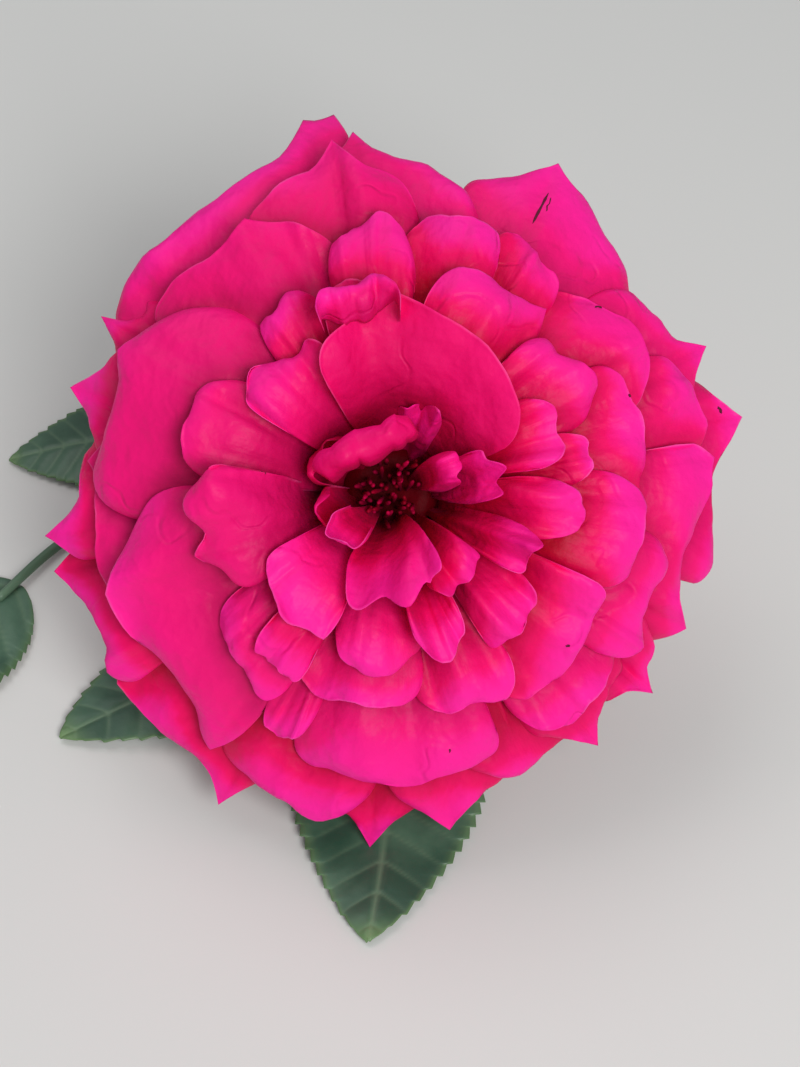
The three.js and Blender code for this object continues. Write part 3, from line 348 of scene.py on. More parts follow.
def roll_gain(petal):
    """How much longer the flat petal must be, so that the rolled one reaches as far as asked."""
    plain = {**petal, "tips": [], "skew": 0, "wave": 0, "ruffle": 0, "folds": []}
    gain = 1.0
    for _ in range(2):
        t = np.linspace(0, 1, 41) ** 0.9
        far = np.hypot(*petal_points(plain, np.zeros_like(t), t, gain).T[:2]).max()
        gain *= petal["reach"] / far
    return gain


def normals_of(grid):
    """Unit normals of a grid of points, from the differences of neighbours."""
    n = np.cross(np.gradient(grid, axis=1), np.gradient(grid, axis=0))
    n /= np.maximum(np.linalg.norm(n, axis=-1, keepdims=True), 1e-9)
    return n


print("the first petal is", round(roll_gain(petals[0]), 3), "times as long as it reaches")

# %% [markdown]
# Petals press on each other and never pass through one another. A round map holds the lowest
# height that the petals placed so far leave free. Each further petal, working outwards, is
# pushed down under that map, and the push fades out over its surface like a gentle dent.

# %% The map of free heights
RINGS, SECTORS = 160, 360
RING = 0.5
THICK, SOLID_THICK, SLACK = 0.28, 0.6, 0.4
SINK_MOST, FADE = 15, 0.955  # most that a petal is pushed down, and what is left a step away
CORE_REACH = 9  # feet this far in stay inside the core
EMPTY = 1000.0  # height in the map where no petal lies yet


def cells(points):
    """Ring and sector of the round map that each point falls in."""
    ring = np.clip((np.hypot(points[..., 0], points[..., 1]) / RING).astype(int), 0, RINGS - 1)
    turn = np.arctan2(points[..., 1], points[..., 0]) / (2 * np.pi) % 1
    return ring, (turn * SECTORS).astype(int) % SECTORS


def settle(ceiling, grid, t):
    """Lowers the points of a petal until they clear the map, by more where it is steep."""
    room = (SOLID_THICK + GAP + SLACK) / np.maximum(0.4, np.abs(normals_of(grid)[..., 2]))
    push = np.clip(grid[..., 2] - (ceiling[cells(grid)] - room), 0, SINK_MOST)
    push *= np.clip((t - 0.1) / 0.2, 0, 1)
    for _ in range(14):
        around = push.copy()
        around[1:] = np.maximum(around[1:], push[:-1])
        around[:-1] = np.maximum(around[:-1], push[1:])
        around[:, 1:] = np.maximum(around[:, 1:], push[:, :-1])
        around[:, :-1] = np.maximum(around[:, :-1], push[:, 1:])
        push = np.maximum(push, FADE * around)
    soft = push.copy()
    for _ in range(6):
        soft[1:-1] = 0.25 * soft[:-2] + 0.5 * soft[1:-1] + 0.25 * soft[2:]
        soft[:, 1:-1] = 0.25 * soft[:, :-2] + 0.5 * soft[:, 1:-1] + 0.25 * soft[:, 2:]
    out = grid.copy()
    foot_floor = 1 - 1.2 * np.maximum(0, np.hypot(out[..., 0], out[..., 1]) - CORE_REACH)
    out[..., 2] = np.maximum(out[..., 2] - soft, np.minimum(foot_floor, out[..., 2]))
    return out


def lower_ceiling(ceiling, grid):
    """Takes a placed petal into the map, its own cells and the ones round them."""
    dense = grid
    for _ in range(2):
        dense = np.insert(dense, range(1, len(dense)), (dense[1:] + dense[:-1]) / 2, axis=0)
        dense = np.insert(dense, range(1, dense.shape[1]), (dense[:, 1:] + dense[:, :-1]) / 2, axis=1)
    ring, sector = cells(dense)
    wide = np.ceil(1.2 / (RING * (ring + 1) * 2 * np.pi / SECTORS)).astype(int)
    for a in (-2, 0, 2):
        for b in (-1, -0.5, 0, 0.5, 1):
            near = (sector + np.round(b * wide).astype(int)) % SECTORS
            np.minimum.at(ceiling, (np.clip(ring + a, 0, RINGS - 1), near), dense[..., 2])


def cover_of(ceiling, grid):
    """Share of the places within 5 mm of each point that petals further in already lie over, which is
    painted on as shade.
    """
    share = 0.0
    for far in (1.0, 2.2, 4.0):
        for turn in np.arange(8) * np.pi / 4 + far:
            beside = grid[..., :2] + far * np.array([np.cos(turn), np.sin(turn)])
            share = share + (ceiling[cells(beside)] < EMPTY) / 24
    return share


print("the map has", RINGS, "rings of", SECTORS, "sectors")

# %% [markdown]
# The petals are laid from the middle outwards. Each grid gets a column right on every tip, and
# more rows near the rim, where the outline needs them. How much lies over each point is noted on
# the way, because it becomes painted shade: a petal is painted darker where others lie over it.

# %% Let the petals settle
ACROSS, ALONG = ((40, 36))
ceiling = np.full((RINGS, SECTORS), EMPTY)
s_row = np.sin(np.linspace(-1, 1, ACROSS + 1) * 0.45 * np.pi) / math.sin(0.45 * np.pi)
for petal in sorted(petals, key=lambda p: p.get("order", p["reach"])):
    places = s_row.copy()
    for tip, _ in petal["tips"]:
        places[1 + np.argmin(np.abs(places[1:-1] - tip))] = tip
    share = np.insert(np.linspace(0, 1, ALONG) ** 0.85, ALONG - 1, 0.992)
    share, s_grid = np.meshgrid(share, places, indexing="ij")
    first = petal["from_t"] + petal["close"] * np.abs(s_grid) ** 2.5
    t_grid = first + (1 - first) * share
    grid = petal_points(petal, s_grid, t_grid, roll_gain(petal), fine=1.0)
    grid[..., 2] -= petal["dip"] * (1 - share) ** 2
    petal["grid"] = grid if petal["dip"] else settle(ceiling, grid, t_grid)
    petal["s"], petal["t"] = s_grid, t_grid
    # Painted shade: darker where petals further in lie over a point, plus the painted shade of the row.
    petal["cover"] = cover_of(ceiling, petal["grid"]) + petal["shade"]
    lower_ceiling(ceiling, petal["grid"])
print("petals settled, lowest", round(min(p["grid"][..., 2].min() for p in petals), 1), "mm")

# %% [markdown]
# Meshes are filled from arrays. A petal is a thin slab that thins towards its rim: the same grid
# twice, moved out along its normals to either side and joined round the edge. The places across
# and along the petal are kept as attributes, because the colour follows them.

# %% Meshes from arrays


def in_scene(name, data):
    """New object in the scene for a mesh, a light or a camera."""
    obj = bpy.data.objects.new(name, data)
    bpy.context.scene.collection.objects.link(obj)
    return obj


def mesh_object(name, points, faces, smooth=True, **values):
    """Object at the origin from points in mm, faces, and one number per point and attribute."""
    mesh = bpy.data.meshes.new(name)
    mesh.from_pydata((points * MM).tolist(), [], faces)
    for key, data in values.items():
        numbers = mesh.attributes.new(key, "FLOAT", "POINT").data
        numbers.foreach_set("value", data.astype(np.float32))
    mesh.polygons.foreach_set("use_smooth", np.full(len(mesh.polygons), smooth))
    mesh.validate()
    return in_scene(name, mesh)


def slab_faces(rows, cols):
    """Quads of a grid, of its copy turned round, and of the band that joins their edges."""
    a = (np.arange(rows - 1)[:, None] * cols + np.arange(cols - 1)).ravel()
    half = rows * cols
    top = np.stack([a, a + 1, a + 1 + cols, a + cols], 1)
    edge = np.concatenate([np.arange(cols - 1), np.arange(rows - 1) * cols + cols - 1,
                           half - 1 - np.arange(cols - 1), (np.arange(rows - 1, 0, -1)) * cols])
    after = np.roll(edge, -1)
    band = np.stack([edge, edge + half, after + half, after], 1)
    return np.vstack([top, top[:, ::-1] + half, band])


def values_of(keys, count, own):
    """The named attributes for a number of points, zero unless given."""
    return {key: np.broadcast_to(own.get(key, 0.0), (count,)).astype(float) for key in keys}


def slab_part(grid, thick, keys, **own):
    """Points, faces and attributes of a closed slab, drawn out thin along its free edges. The
    attributes are given as single numbers or as one number for each point of the grid."""
    rows, cols = grid.shape[:2]
    from_side = np.minimum(np.arange(cols), np.arange(cols)[::-1]) / 2.0
    from_rim = (rows - 1 - np.arange(rows)) / 2.0
    taper = np.clip(0.35 + 0.65 * np.minimum(from_side[None, :], from_rim[:, None]), 0.35, 1)
    move = normals_of(grid) * (thick / 2 * taper)[..., None]
    points = np.concatenate([(grid + move).reshape(-1, 3), (grid - move).reshape(-1, 3)])
    own = {key: np.tile(np.ravel(value), 2) if np.ndim(value) else value for key, value in own.items()}
    return points, slab_faces(rows, cols), values_of(keys, len(points), own)


def wall_faces(rings, sides):
    """Quads between rings of points that follow one another."""
    a = np.arange(rings - 1)[:, None] * sides + np.arange(sides)
    b = np.arange(rings - 1)[:, None] * sides + (np.arange(sides) + 1) % sides
    return np.stack([a, b, b + sides, a + sides], -1).reshape(-1, 4)


def tube_part(path, radii, sides, keys, **own):
    """Closed round tube along a path in mm; rings stand square to the path's direction."""
    way = np.gradient(path, axis=0)
    way /= np.linalg.norm(way, axis=1, keepdims=True)
    out = np.array([1.0, 0, 0]) - way * way[:, :1]
    poor = np.linalg.norm(out, axis=1) < 0.3
    out[poor] = np.array([0, 0, 1.0]) - way[poor] * way[poor][:, 2:]
    out /= np.linalg.norm(out, axis=1, keepdims=True)
    other = np.cross(way, out)
    phi = 2 * np.pi * np.arange(sides) / sides
    ring = out[:, None] * np.cos(phi)[:, None] + other[:, None] * np.sin(phi)[:, None]
    points = (path[:, None] + np.reshape(radii, (-1, 1, 1)) * ring).reshape(-1, 3)
    first = np.arange(sides)[::-1]
    last = (len(path) - 1) * sides + np.arange(sides)
    faces = wall_faces(len(path), sides).tolist() + [first.tolist(), last.tolist()]
    return points, np.array(faces, dtype=object), values_of(keys, len(points), own)


print("a petal's slab has", len(slab_faces(ALONG + 1, ACROSS + 1)), "faces")

# %% [markdown]
# Petal and leaf both get their colour from a shader group, built from a few kinds of node. Short
# functions make those nodes, so that the groups below read like sums.

# %% Functions for shader nodes


def group(name, colours, outputs):
    """New shader node group: its input colours with their usual values, and its outputs' types."""
    tree = bpy.data.node_groups.new(name, "ShaderNodeTree")
    for label, value in colours.items():
        socket = tree.interface.new_socket(label, in_out="INPUT", socket_type="NodeSocketColor")
        socket.default_value = value
    for label, kind in outputs.items():
        tree.interface.new_socket(label, in_out="OUTPUT", socket_type="NodeSocket" + kind)
    return tree, tree.nodes.new("NodeGroupInput"), tree.nodes.new("NodeGroupOutput")


def plug(tree, socket, value):
    """Links an output to a socket, or sets the socket to a number or a colour."""
    if isinstance(value, bpy.types.NodeSocket):
        tree.links.new(value, socket)
    else:
        socket.default_value = value


def new_node(tree, kind, **inputs):
    """New shader node with its inputs plugged by their names, where _ stands for a blank."""
    node = tree.nodes.new("ShaderNode" + kind)
    for label, value in inputs.items():
        plug(tree, node.inputs[label.replace("_", " ")], value)
    return node


def attribute(tree, name):
    """Output that reads a number kept on the points."""
    node = new_node(tree, "Attribute")
    node.attribute_name = name
    return node.outputs["Fac"]


def maths(tree, kind, a, b=0.5):
    """One sum on two numbers or outputs."""
    node = new_node(tree, "Math")
    node.operation = kind
    plug(tree, node.inputs[0], a)
    plug(tree, node.inputs[1], b)
    return node.outputs[0]


def span(tree, value, low, high):
    """0 at low, 1 at high, eased at both ends."""
    node = new_node(tree, "MapRange", Value=value, From_Min=low, From_Max=high)
    node.interpolation_type = "SMOOTHSTEP"
    return node.outputs["Result"]


def blend(tree, share, a, b):
    """Colour a turning into colour b."""
    node = new_node(tree, "Mix")
    node.data_type = "RGBA"
    for index, value in ((0, share), (6, a), (7, b)):
        plug(tree, node.inputs[index], value)
    return node.outputs[2]


def noise(tree, scale, detail=3.0):
    """Soft cloudy noise fixed to the object, a number round 0.5."""
    place = new_node(tree, "TexCoord").outputs["Object"]
    return new_node(tree, "TexNoise", Vector=place, Scale=scale, Detail=detail).outputs["Fac"]


print("nodes come from attribute, maths, span, blend and noise")

# %% [markdown]
# The colour of this rose is a hot pink that deepens to crimson towards the foot of each petal,
# partly its own colour and partly painted shade, which is also laid where petals further in lie
# over a petal. Rims are brighter by a painted highlight, with a hair-thin pale line of painted
# highlight on parts of the very edge. One shared group works that out from the attributes, and
# each material gives it its own colours. The relief is soft dents, a fine grain, faint fibres and
# a few wrinkles, which run where a cloudy noise crosses its middle value.

# %% Shared petal colouring
tree, given, result = group(
    "petal tint", dict(Deep=(0.3, 0.0, 0.03, 1), Middle=(0.8, 0.01, 0.16, 1), Rim=(0.9, 0.03, 0.25, 1),
                       Pale=(1.0, 0.16, 0.5, 1), Mark=(0.12, 0.03, 0.05, 1)),
    dict(Color="Color", Height="Float", Silk="Float"))
along, edge = attribute(tree, "along"), attribute(tree, "edge")
cloud = noise(tree, 60.0)
strip = new_node(tree, "CombineXYZ", X=maths(tree, "MULTIPLY", attribute(tree, "across"), 16.0),
                 Y=maths(tree, "MULTIPLY", along, 1.6),
                 Z=maths(tree, "MULTIPLY", attribute(tree, "tone"), 40.0)).outputs["Vector"]
fibres = new_node(tree, "TexNoise", Vector=strip, Scale=1.0, Detail=3.0).outputs["Fac"]
uneven = maths(tree, "ADD", maths(tree, "MULTIPLY", cloud, 0.3), maths(tree, "MULTIPLY", fibres, 0.07))
# Painted shade, partly the petal's own colour: Deep towards the foot and where petals further in lie over
# it.
open_air = maths(tree, "SUBTRACT", along, maths(tree, "MULTIPLY", attribute(tree, "cover"), 0.5))
colour = blend(tree, span(tree, maths(tree, "ADD", open_air, uneven), 0.27, 1.06),
               given.outputs["Deep"], given.outputs["Middle"])
# Painted highlight: open parts near the rim turn to the highlight colour.
lighter = maths(tree, "MULTIPLY", span(tree, open_air, 0.7, 1.0), maths(tree, "ADD", 0.2, cloud))
colour = blend(tree, lighter, colour, given.outputs["Rim"])
tone = maths(tree, "MULTIPLY", attribute(tree, "tone"), 0.25)
colour = blend(tree, tone, colour, given.outputs["Rim"])
# Painted highlight: a thin pale line on parts of the very edge.
worn = maths(tree, "MULTIPLY", edge, maths(tree, "MULTIPLY", span(tree, cloud, 0.4, 0.66), 0.42))
colour = blend(tree, worn, colour, given.outputs["Pale"])
mark = attribute(tree, "mark")
colour = blend(tree, mark, colour, given.outputs["Mark"])
tree.links.new(colour, result.inputs["Color"])
tree.links.new(maths(tree, "SUBTRACT", 1.0, mark), result.inputs["Silk"])
off_line = maths(tree, "ABSOLUTE", maths(tree, "SUBTRACT", noise(tree, 75.0, 2.0), 0.5))
in_patches = span(tree, noise(tree, 33.0, 1.0), 0.5, 0.62)
wrinkle = maths(tree, "MULTIPLY", span(tree, off_line, 0.0, 0.03), in_patches)
height = noise(tree, 110.0, 3.0)
for part, most in ((noise(tree, 420.0, 3.0), 0.18), (fibres, 0.04), (wrinkle, 0.1)):
    height = maths(tree, "ADD", height, maths(tree, "MULTIPLY", part, most))
tree.links.new(height, result.inputs["Height"])
PETAL_TINT = tree
print("petal tint:", len(tree.nodes), "nodes")

# %% [markdown]
# A petal is silky: it has little gloss, a faint velvet sheen and a soft relief. The small petals
# in the heart are a touch deeper, so they get a material of their own with the same group.

# %% Petal materials


def plain_material(name, colour, roughness):
    """Material with one Principled shader; gives back the material, its tree and the shader."""
    material = bpy.data.materials.new(name)
    material.use_nodes = True
    shader = material.node_tree.nodes["Principled BSDF"]
    shader.inputs["Base Color"].default_value = colour
    shader.inputs["Roughness"].default_value = roughness
    material.diffuse_color = colour
    return material, material.node_tree, shader


def relief(tree, shader, height, strength, distance):
    """Small relief on the shader's normal from a height."""
    bump = new_node(tree, "Bump", Strength=strength, Distance=distance, Height=height)
    tree.links.new(bump.outputs["Normal"], shader.inputs["Normal"])


def tinted(tree, shader, shared, **colours):
    """Colours a shader by a shared group with its own colours; gives back the group's node."""
    tint = new_node(tree, "Group")
    tint.node_tree = shared
    for label, value in colours.items():
        tint.inputs[label].default_value = value
    tree.links.new(tint.outputs["Color"], shader.inputs["Base Color"])
    return tint


def petal_material(name, deep, middle, rim, mark):
    """Silky petal: the shared tint, a soft gloss and a faint velvet sheen, both gone on marks."""
    material, tree, shader = plain_material(name, middle, 0.48)
    tint = tinted(tree, shader, PETAL_TINT, Deep=deep, Middle=middle, Rim=rim, Mark=mark)
    for label, most in (("Specular IOR Level", 0.14), ("Sheen Weight", 0.06)):
        tree.links.new(maths(tree, "MULTIPLY", tint.outputs["Silk"], most), shader.inputs[label])
    shader.inputs["Sheen Roughness"].default_value = 0.4
    shader.inputs["Sheen Tint"].default_value = (1.0, 0.06, 0.3, 1)
    relief(tree, shader, tint.outputs["Height"], 0.74, 0.002)
    return material


# The rim colour given to each material is its painted highlight colour, and its deep colour is partly
# painted shade.
PETAL = petal_material("petal", (0.4, 0.0, 0.009, 1), (0.9, 0.002, 0.13, 1), (1.0, 0.018, 0.38, 1),
                       (0.12, 0.02, 0.04, 1))
# In the heart, the colour for marks is nearly black, for the painted shade at the bottom of the hollow.
HEART = petal_material("petal heart", (0.37, 0.0, 0.008, 1), (0.84, 0.001, 0.11, 1), (1.0, 0.014, 0.36, 1),
                       (0.05, 0.001, 0.004, 1))
print("two petal materials made")

# %% [markdown]
# A few small marks are kept from the real bloom: a healed scar near one tip and some dry nicks
# near the rims. Colour on the mesh's points would smear them over a millimetre, so each is a
# hair-thin stroke of its own that lies on the petal. A row gives the petal, the stroke's two
# ends as seen from in front, and its width.

# %% Marks on the petals
MARKS = {
    "guard_petal_03": [(25.0, 47.2, 22.6, 42.4, 0.3), (25.6, 46.9, 24.4, 44.2, 0.16)],
    "guard_petal_05": [(51.8, 13.6, 52.6, 12.4, 0.3), (49.6, 10.6, 49.8, 10.2, 0.2)],
    "outer_petal_06": [(9.2, -41.0, 9.5, -41.6, 0.2)],
    "outer_petal_11": [(32.4, 28.9, 33.8, 29.3, 0.22)],
    "outer_petal_12": [(39.2, 15.9, 40.8, 16.0, 0.2)],
    "inner_petal_10": [(-20.4, 3.9, -19.6, 3.3, 0.22)],
    "inner_petal_19": [(27.9, -24.8, 28.4, -24.4, 0.25)],
    "inner_petal_20": [(30.6, 17.4, 31.6, 17.0, 0.16)],
}
PETAL_KEYS = ("along", "cover", "across", "edge", "mark", "tone")
print("marks:", sum(map(len, MARKS.values())), "on", len(MARKS), "petals")


def stroke_parts(petal):
    """The petal's marks: thin dark strokes that lie on it, each found by its place in the view."""
    grid = petal["grid"].reshape(-1, 3)
    seen = grid[:, :2] * (EYE - RIMS) / (EYE - grid[:, 2:])
    parts = []
    for x0, y0, x1, y1, width in MARKS.get(petal["name"], []):
        path = []
        for f in np.linspace(0, 1, 6):
            apart = np.linalg.norm(seen - [x0 + f * (x1 - x0), y0 + f * (y1 - y0)], axis=1)
            near = np.argsort(apart)[:4]
            share = 1 / (apart[near] + 0.05)
            path.append(share @ grid[near] / share.sum() + [0, 0, 0.1])
        radii = width * np.array([0.2, 0.9, 0.7, 1, 0.8, 0.2])
        parts.append(tube_part(from_bloom(np.array(path)), radii, 8, PETAL_KEYS, along=0.5, mark=1.0))
    return parts


# %% [markdown]
# Each petal takes the place of its own solid. Its slab carries the numbers that the shared tint
# reads: how far along and across a point is, how much painted shade it gets from lying under its
# neighbours, and whether it is on the very rim.

# %% Petals into the scene


def edge_values(petal):
    """1 on the very rim of a petal, 0 a little way in."""
    edge = np.zeros(petal["grid"].shape[:2])
    edge[-1, :] = 1
    upper = petal["t"] > 0.55
    edge[:, 0] = np.where(upper[:, 0], 0.8, 0)
    edge[:, -1] = np.where(upper[:, -1], 0.8, 0)
    return edge


def petal_part(petal):
    """One petal's slab with its attributes."""
    return slab_part(from_bloom(petal["grid"]), THICK, PETAL_KEYS, along=petal["t"], across=petal["s"],
                     cover=petal["cover"], edge=edge_values(petal),
                     tone=0.5 + 0.5 * math.sin(12.9 * petal["seed"] + 1.3))


def joined(parts):
    """Several (points, faces, attributes) as one set."""
    points, faces, values, start = [], [], {}, 0
    for own_points, own_faces, own_values in parts:
        points.append(own_points)
        faces.extend([[start + i for i in face] for face in own_faces.tolist()])
        for key, data in own_values.items():
            values.setdefault(key, []).append(data)
        start += len(own_points)
    return np.vstack(points), faces, {k: np.concatenate(v) for k, v in values.items()}


def add_piece(name, parts, material, node, smooth=True):
    """One piece from its parts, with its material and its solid's place."""
    points, faces, values = joined(parts)
    obj = mesh_object(name, points, faces, smooth, **values)
    obj.data.materials.append(material)
    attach(obj, "root")
    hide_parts(node)


single = [p for p in petals if not p["name"].startswith(("heart", "lobe"))]
for petal in single:
    parts = [petal_part(petal)] + stroke_parts(petal)
    if petal["name"] == "inner_petal_07":
        parts.append(petal_part(petals[-1]))
    add_piece(petal["name"] + "_fine", parts, PETAL, petal["name"])
print("petals with pieces of their own:", len(single))

# %% [markdown]
# The innermost petal folds right over, which a fan of bearings can't do. So it is a folded
# outline carried along a line instead, pinched in four places to take the roundness off it.

# %% The folded innermost petal
BAND = [[-10.2, 1.9], [-8.6, 4.2], [-6.2, 5.2], [-3.6, 6.0], [-0.4, 8.1], [1.8, 8.6], [3.9, 9.8]]
BAND_FOLD = [[-1.9, 18], [-2.3, 26], [-2.1, 33], [-1.3, 36.6], [0.5, 37.5], [2.4, 36.4], [3.3, 34.2],
             [3.3, 32]]
BAND_PINCHES = ((0.2, 0.35), (0.42, -0.5), (0.66, 0.4), (0.86, -0.35))  # place along it, depth


def smooth_outline(points, count):
    """Rounded outline through a few points, by Catmull-Rom."""
    p = np.asarray(points, float)
    p = np.vstack([2 * p[0] - p[1], p, 2 * p[-1] - p[-2]])
    place = np.linspace(0, len(points) - 1.0001, count)
    i = place.astype(int)
    f = (place - i)[:, None]
    a, b, c, d = p[i], p[i + 1], p[i + 2], p[i + 3]
    return 0.5 * (2 * b + (c - a) * f + (2 * a - 5 * b + 4 * c - d) * f**2 + (3 * b - a - 3 * c + d) * f**3)


def band_part():
    """The innermost petal: a sheet that rises out of the hollow and curls over outwards. Its
    fold, given as [offset, height], is carried along the line BAND, lower at both ends."""
    line = smooth_outline(BAND, 49)
    fold = smooth_outline(BAND_FOLD, 33)
    way = np.gradient(line, axis=0)
    way /= np.linalg.norm(way, axis=1, keepdims=True)
    out = np.stack([-way[:, 1], way[:, 0]], -1)
    share = np.linspace(0, 1, len(line))
    wide = (0.6 + 0.4 * np.sin(np.pi * share) ** 0.6) * (1 + 0.1 * np.sin(17 * share))
    far = fold[:, :1] * wide
    for spot, depth in BAND_PINCHES:
        one_side = np.clip(np.sign(depth) * fold[:, :1] / 2.2, 0, 1)
        far = far - 2.6 * depth * one_side * np.exp(-np.abs(share - spot) / 0.05)
    flat = line[None] + far[..., None] * out[None]
    low = 4.5 * (1 - np.sin(np.pi * share) ** 0.5) + 0.7 * np.sin(14 * share + 1)
    grid = np.concatenate([flat, (fold[:, 1:] - low * (fold[:, 1:] - 18) / 19)[..., None]], -1)
    t = np.linspace(0.4, 1, len(fold))[:, None] * np.ones(len(line))
    edge = np.zeros(t.shape)
    edge[-1] = 1
    return slab_part(from_bloom(grid), THICK, PETAL_KEYS, along=t, cover=0.1, across=0 * t + share,
                     edge=edge, tone=0.7)


FOLDED = band_part()
print("folded petal:", len(FOLDED[1]), "faces")

# %% [markdown]
# In the open middle the last small petals curl over a dark hollow with a tuft of red threads at
# its bottom. They have grown together at the foot, so they are one joined piece, with the packed
# feet as a slim core that is turned like a vase. The folded petal stands in the place that row
# heart_03 keeps free for it.

# %% The open middle


def turned_part(outline, keys, sides=48, **own):
    """Round body about the bloom's axis from [radius, height], closed on the axis at both ends."""
    outline = np.asarray(outline, float)
    phi = 2 * np.pi * np.arange(sides) / sides
    rings = np.stack([outline[:, :1] * np.cos(phi), outline[:, :1] * np.sin(phi),
                      outline[:, 1:] * np.ones(sides)], -1)
    low, high = [0, 0, outline[0, 1]], [0, 0, outline[-1, 1]]
    points = np.vstack([rings.reshape(-1, 3), [low, high]])
    n = len(outline) * sides
    first, last = np.arange(sides), (len(outline) - 1) * sides + np.arange(sides)
    after = (np.arange(sides) + 1) % sides
    caps = [[int(after[i]), int(first[i]), n] for i in range(sides)]
    caps += [[int(last[i]), int(last[0] + after[i]), n + 1] for i in range(sides)]
    faces = np.array(wall_faces(len(outline), sides).tolist() + caps, dtype=object)
    return from_bloom(points), faces, values_of(keys, len(points), own)


CORE = [[5.4, -1.2], [7.2, 1], [8.2, 4], [8.2, 7], [7.4, 9.2], [6, 10], [4, 9.6], [2, 9.2], [0.4, 9]]
THREADS, THREADS_WITHIN, THREADS_FROM = 60, 4.8, 8.6
parts = [petal_part(p) for p in petals if p["name"].startswith("heart") and p["name"] != "heart_03"]
parts.append(FOLDED)
# The core's top is painted nearly black: painted shade at the bottom of the hollow.
parts.append(turned_part(CORE, PETAL_KEYS, along=0.1, mark=0.8))
random = np.random.default_rng(7)
for _ in range(THREADS):
    turn, far = random.uniform(0, 2 * np.pi), THREADS_WITHIN * np.sqrt(random.uniform())
    lean = random.uniform(-0.5, 0.5)
    rise = np.linspace(0, 1, 7)[:, None]
    ahead, side = np.array([np.cos(turn), np.sin(turn), 0]), np.array([-np.sin(turn), np.cos(turn), 0])
    path = far * ahead + rise * random.uniform(7, 14) * np.array([0, 0, 1]) + [0, 0, THREADS_FROM]
    path = path + 2.2 * rise**2 * (random.uniform(-0.6, 0.8) * ahead + lean * side)
    # Each thread is darkened by a random amount: its own dark red, deepened by painted shade in the hollow.
    parts.append(tube_part(from_bloom(path), [0.3, 0.26, 0.26, 0.28, 0.32, 0.4, 0.25], 8, PETAL_KEYS,
                           along=random.uniform(0.25, 0.7), mark=random.uniform(0.3, 0.75)))
add_piece("heart_petals_fine", parts, HEART, "heart_petals")
print("open middle:", len(parts), "parts in one piece")

# %% [markdown]
# Leaf green varies from the dark blade to lighter veins and a yellower margin. The stem, the
# hip and the stalks share the same kind of green, paler and without a pattern of veins.

# %% Green materials
tree, given, result = group(
    "leaf tint", dict(Dark=(0.01, 0.06, 0.03, 1), Light=(0.05, 0.2, 0.06, 1), Vein=(0.2, 0.4, 0.12, 1),
                      Margin=(0.25, 0.4, 0.08, 1)),
    dict(Color="Color", Height="Float"))
cloud = noise(tree, 60.0, 4.0)
colour = blend(tree, span(tree, cloud, 0.35, 0.68), given.outputs["Dark"], given.outputs["Light"])
colour = blend(tree, maths(tree, "MULTIPLY", attribute(tree, "vein"), 0.55), colour, given.outputs["Vein"])
colour = blend(tree, maths(tree, "MULTIPLY", attribute(tree, "edge"), 0.5), colour, given.outputs["Margin"])
tree.links.new(colour, result.inputs["Color"])
tree.links.new(noise(tree, 900.0, 2.0), result.inputs["Height"])
LEAF_TINT = tree


def green_material(name, dark, light, vein, margin, roughness, strength):
    """Leaf or stem: the shared tint, its own greens and a leathery relief."""
    material, tree, shader = plain_material(name, light, roughness)
    tint = tinted(tree, shader, LEAF_TINT, Dark=dark, Light=light, Vein=vein, Margin=margin)
    shader.inputs["Specular IOR Level"].default_value = 0.4
    relief(tree, shader, tint.outputs["Height"], strength, 0.0002)
    return material


LEAF = green_material("leaf", (0.03, 0.08, 0.05, 1), (0.092, 0.18, 0.115, 1), (0.18, 0.28, 0.17, 1),
                      (0.2, 0.33, 0.1, 1), 0.42, 0.3)
STEM_GREEN = green_material("stem", (0.06, 0.15, 0.04, 1), (0.14, 0.27, 0.07, 1), (0.2, 0.33, 0.1, 1),
                            (0.3, 0.12, 0.06, 1), 0.5, 0.15)
PITH = plain_material("cut pith", (0.55, 0.6, 0.35, 1), 0.8)[0]
print("green materials ready")

# %% [markdown]
# Below the bloom sits the green hip, a small urn that would ripen to the fruit, with five
# sepals bent back from its shoulder. It is turned from an outline; each sepal is a cupped slab.

# %% Hip and sepals
SEPAL_LENGTH, SEPAL_TURN, SEPAL_THICK = 24, math.radians(100), 0.5
GREEN_KEYS = ("vein", "edge")
HIP = [[2.5, -13], [2.9, -12], [4.5, -9.9], [5.5, -7.4], [5.5, -5.6], [5.3, -4.2], [5.6, -3.2],
       [6.2, -2.4], [6.4, -1.6]]


def sepal_grid(phi, n):
    """A sepal bent back on an arc of 100 degrees, cupped across, with a drawn-out tip:
    half width 3.75 (1 - t)^0.8 (0.75 + 0.6 t), and the margins lifted by up to 1 mm."""
    t, s = np.meshgrid(np.linspace(0, 1, 33), np.linspace(-1, 1, 13), indexing="ij")
    turn = SEPAL_TURN * t
    run = SEPAL_LENGTH / SEPAL_TURN
    lobes = 1 + 0.1 * np.sin(9 * t + n) * np.sin(math.pi * t)
    half = 3.75 * (1 - t) ** 0.8 * (0.75 + 0.6 * t) * lobes + 0.12
    rho = HIP_RADIUS - 1.5 + run * np.sin(turn) + 0.6 * s * s * np.sin(turn)
    twist = 0.12 * math.sin(2.1 * n) * t * t
    w = -3.4 - run * (1 - np.cos(turn)) * 0.8 + 1.0 * s * s * (1 - t) - 0.35 * np.exp(-((s / 0.15) ** 2))
    out = np.array([math.cos(phi), math.sin(phi)])
    side = np.array([-math.sin(phi), math.cos(phi)])
    flat = rho[..., None] * out + (s * half + 14 * twist * t)[..., None] * side
    return np.concatenate([flat, w[..., None]], -1), t, s


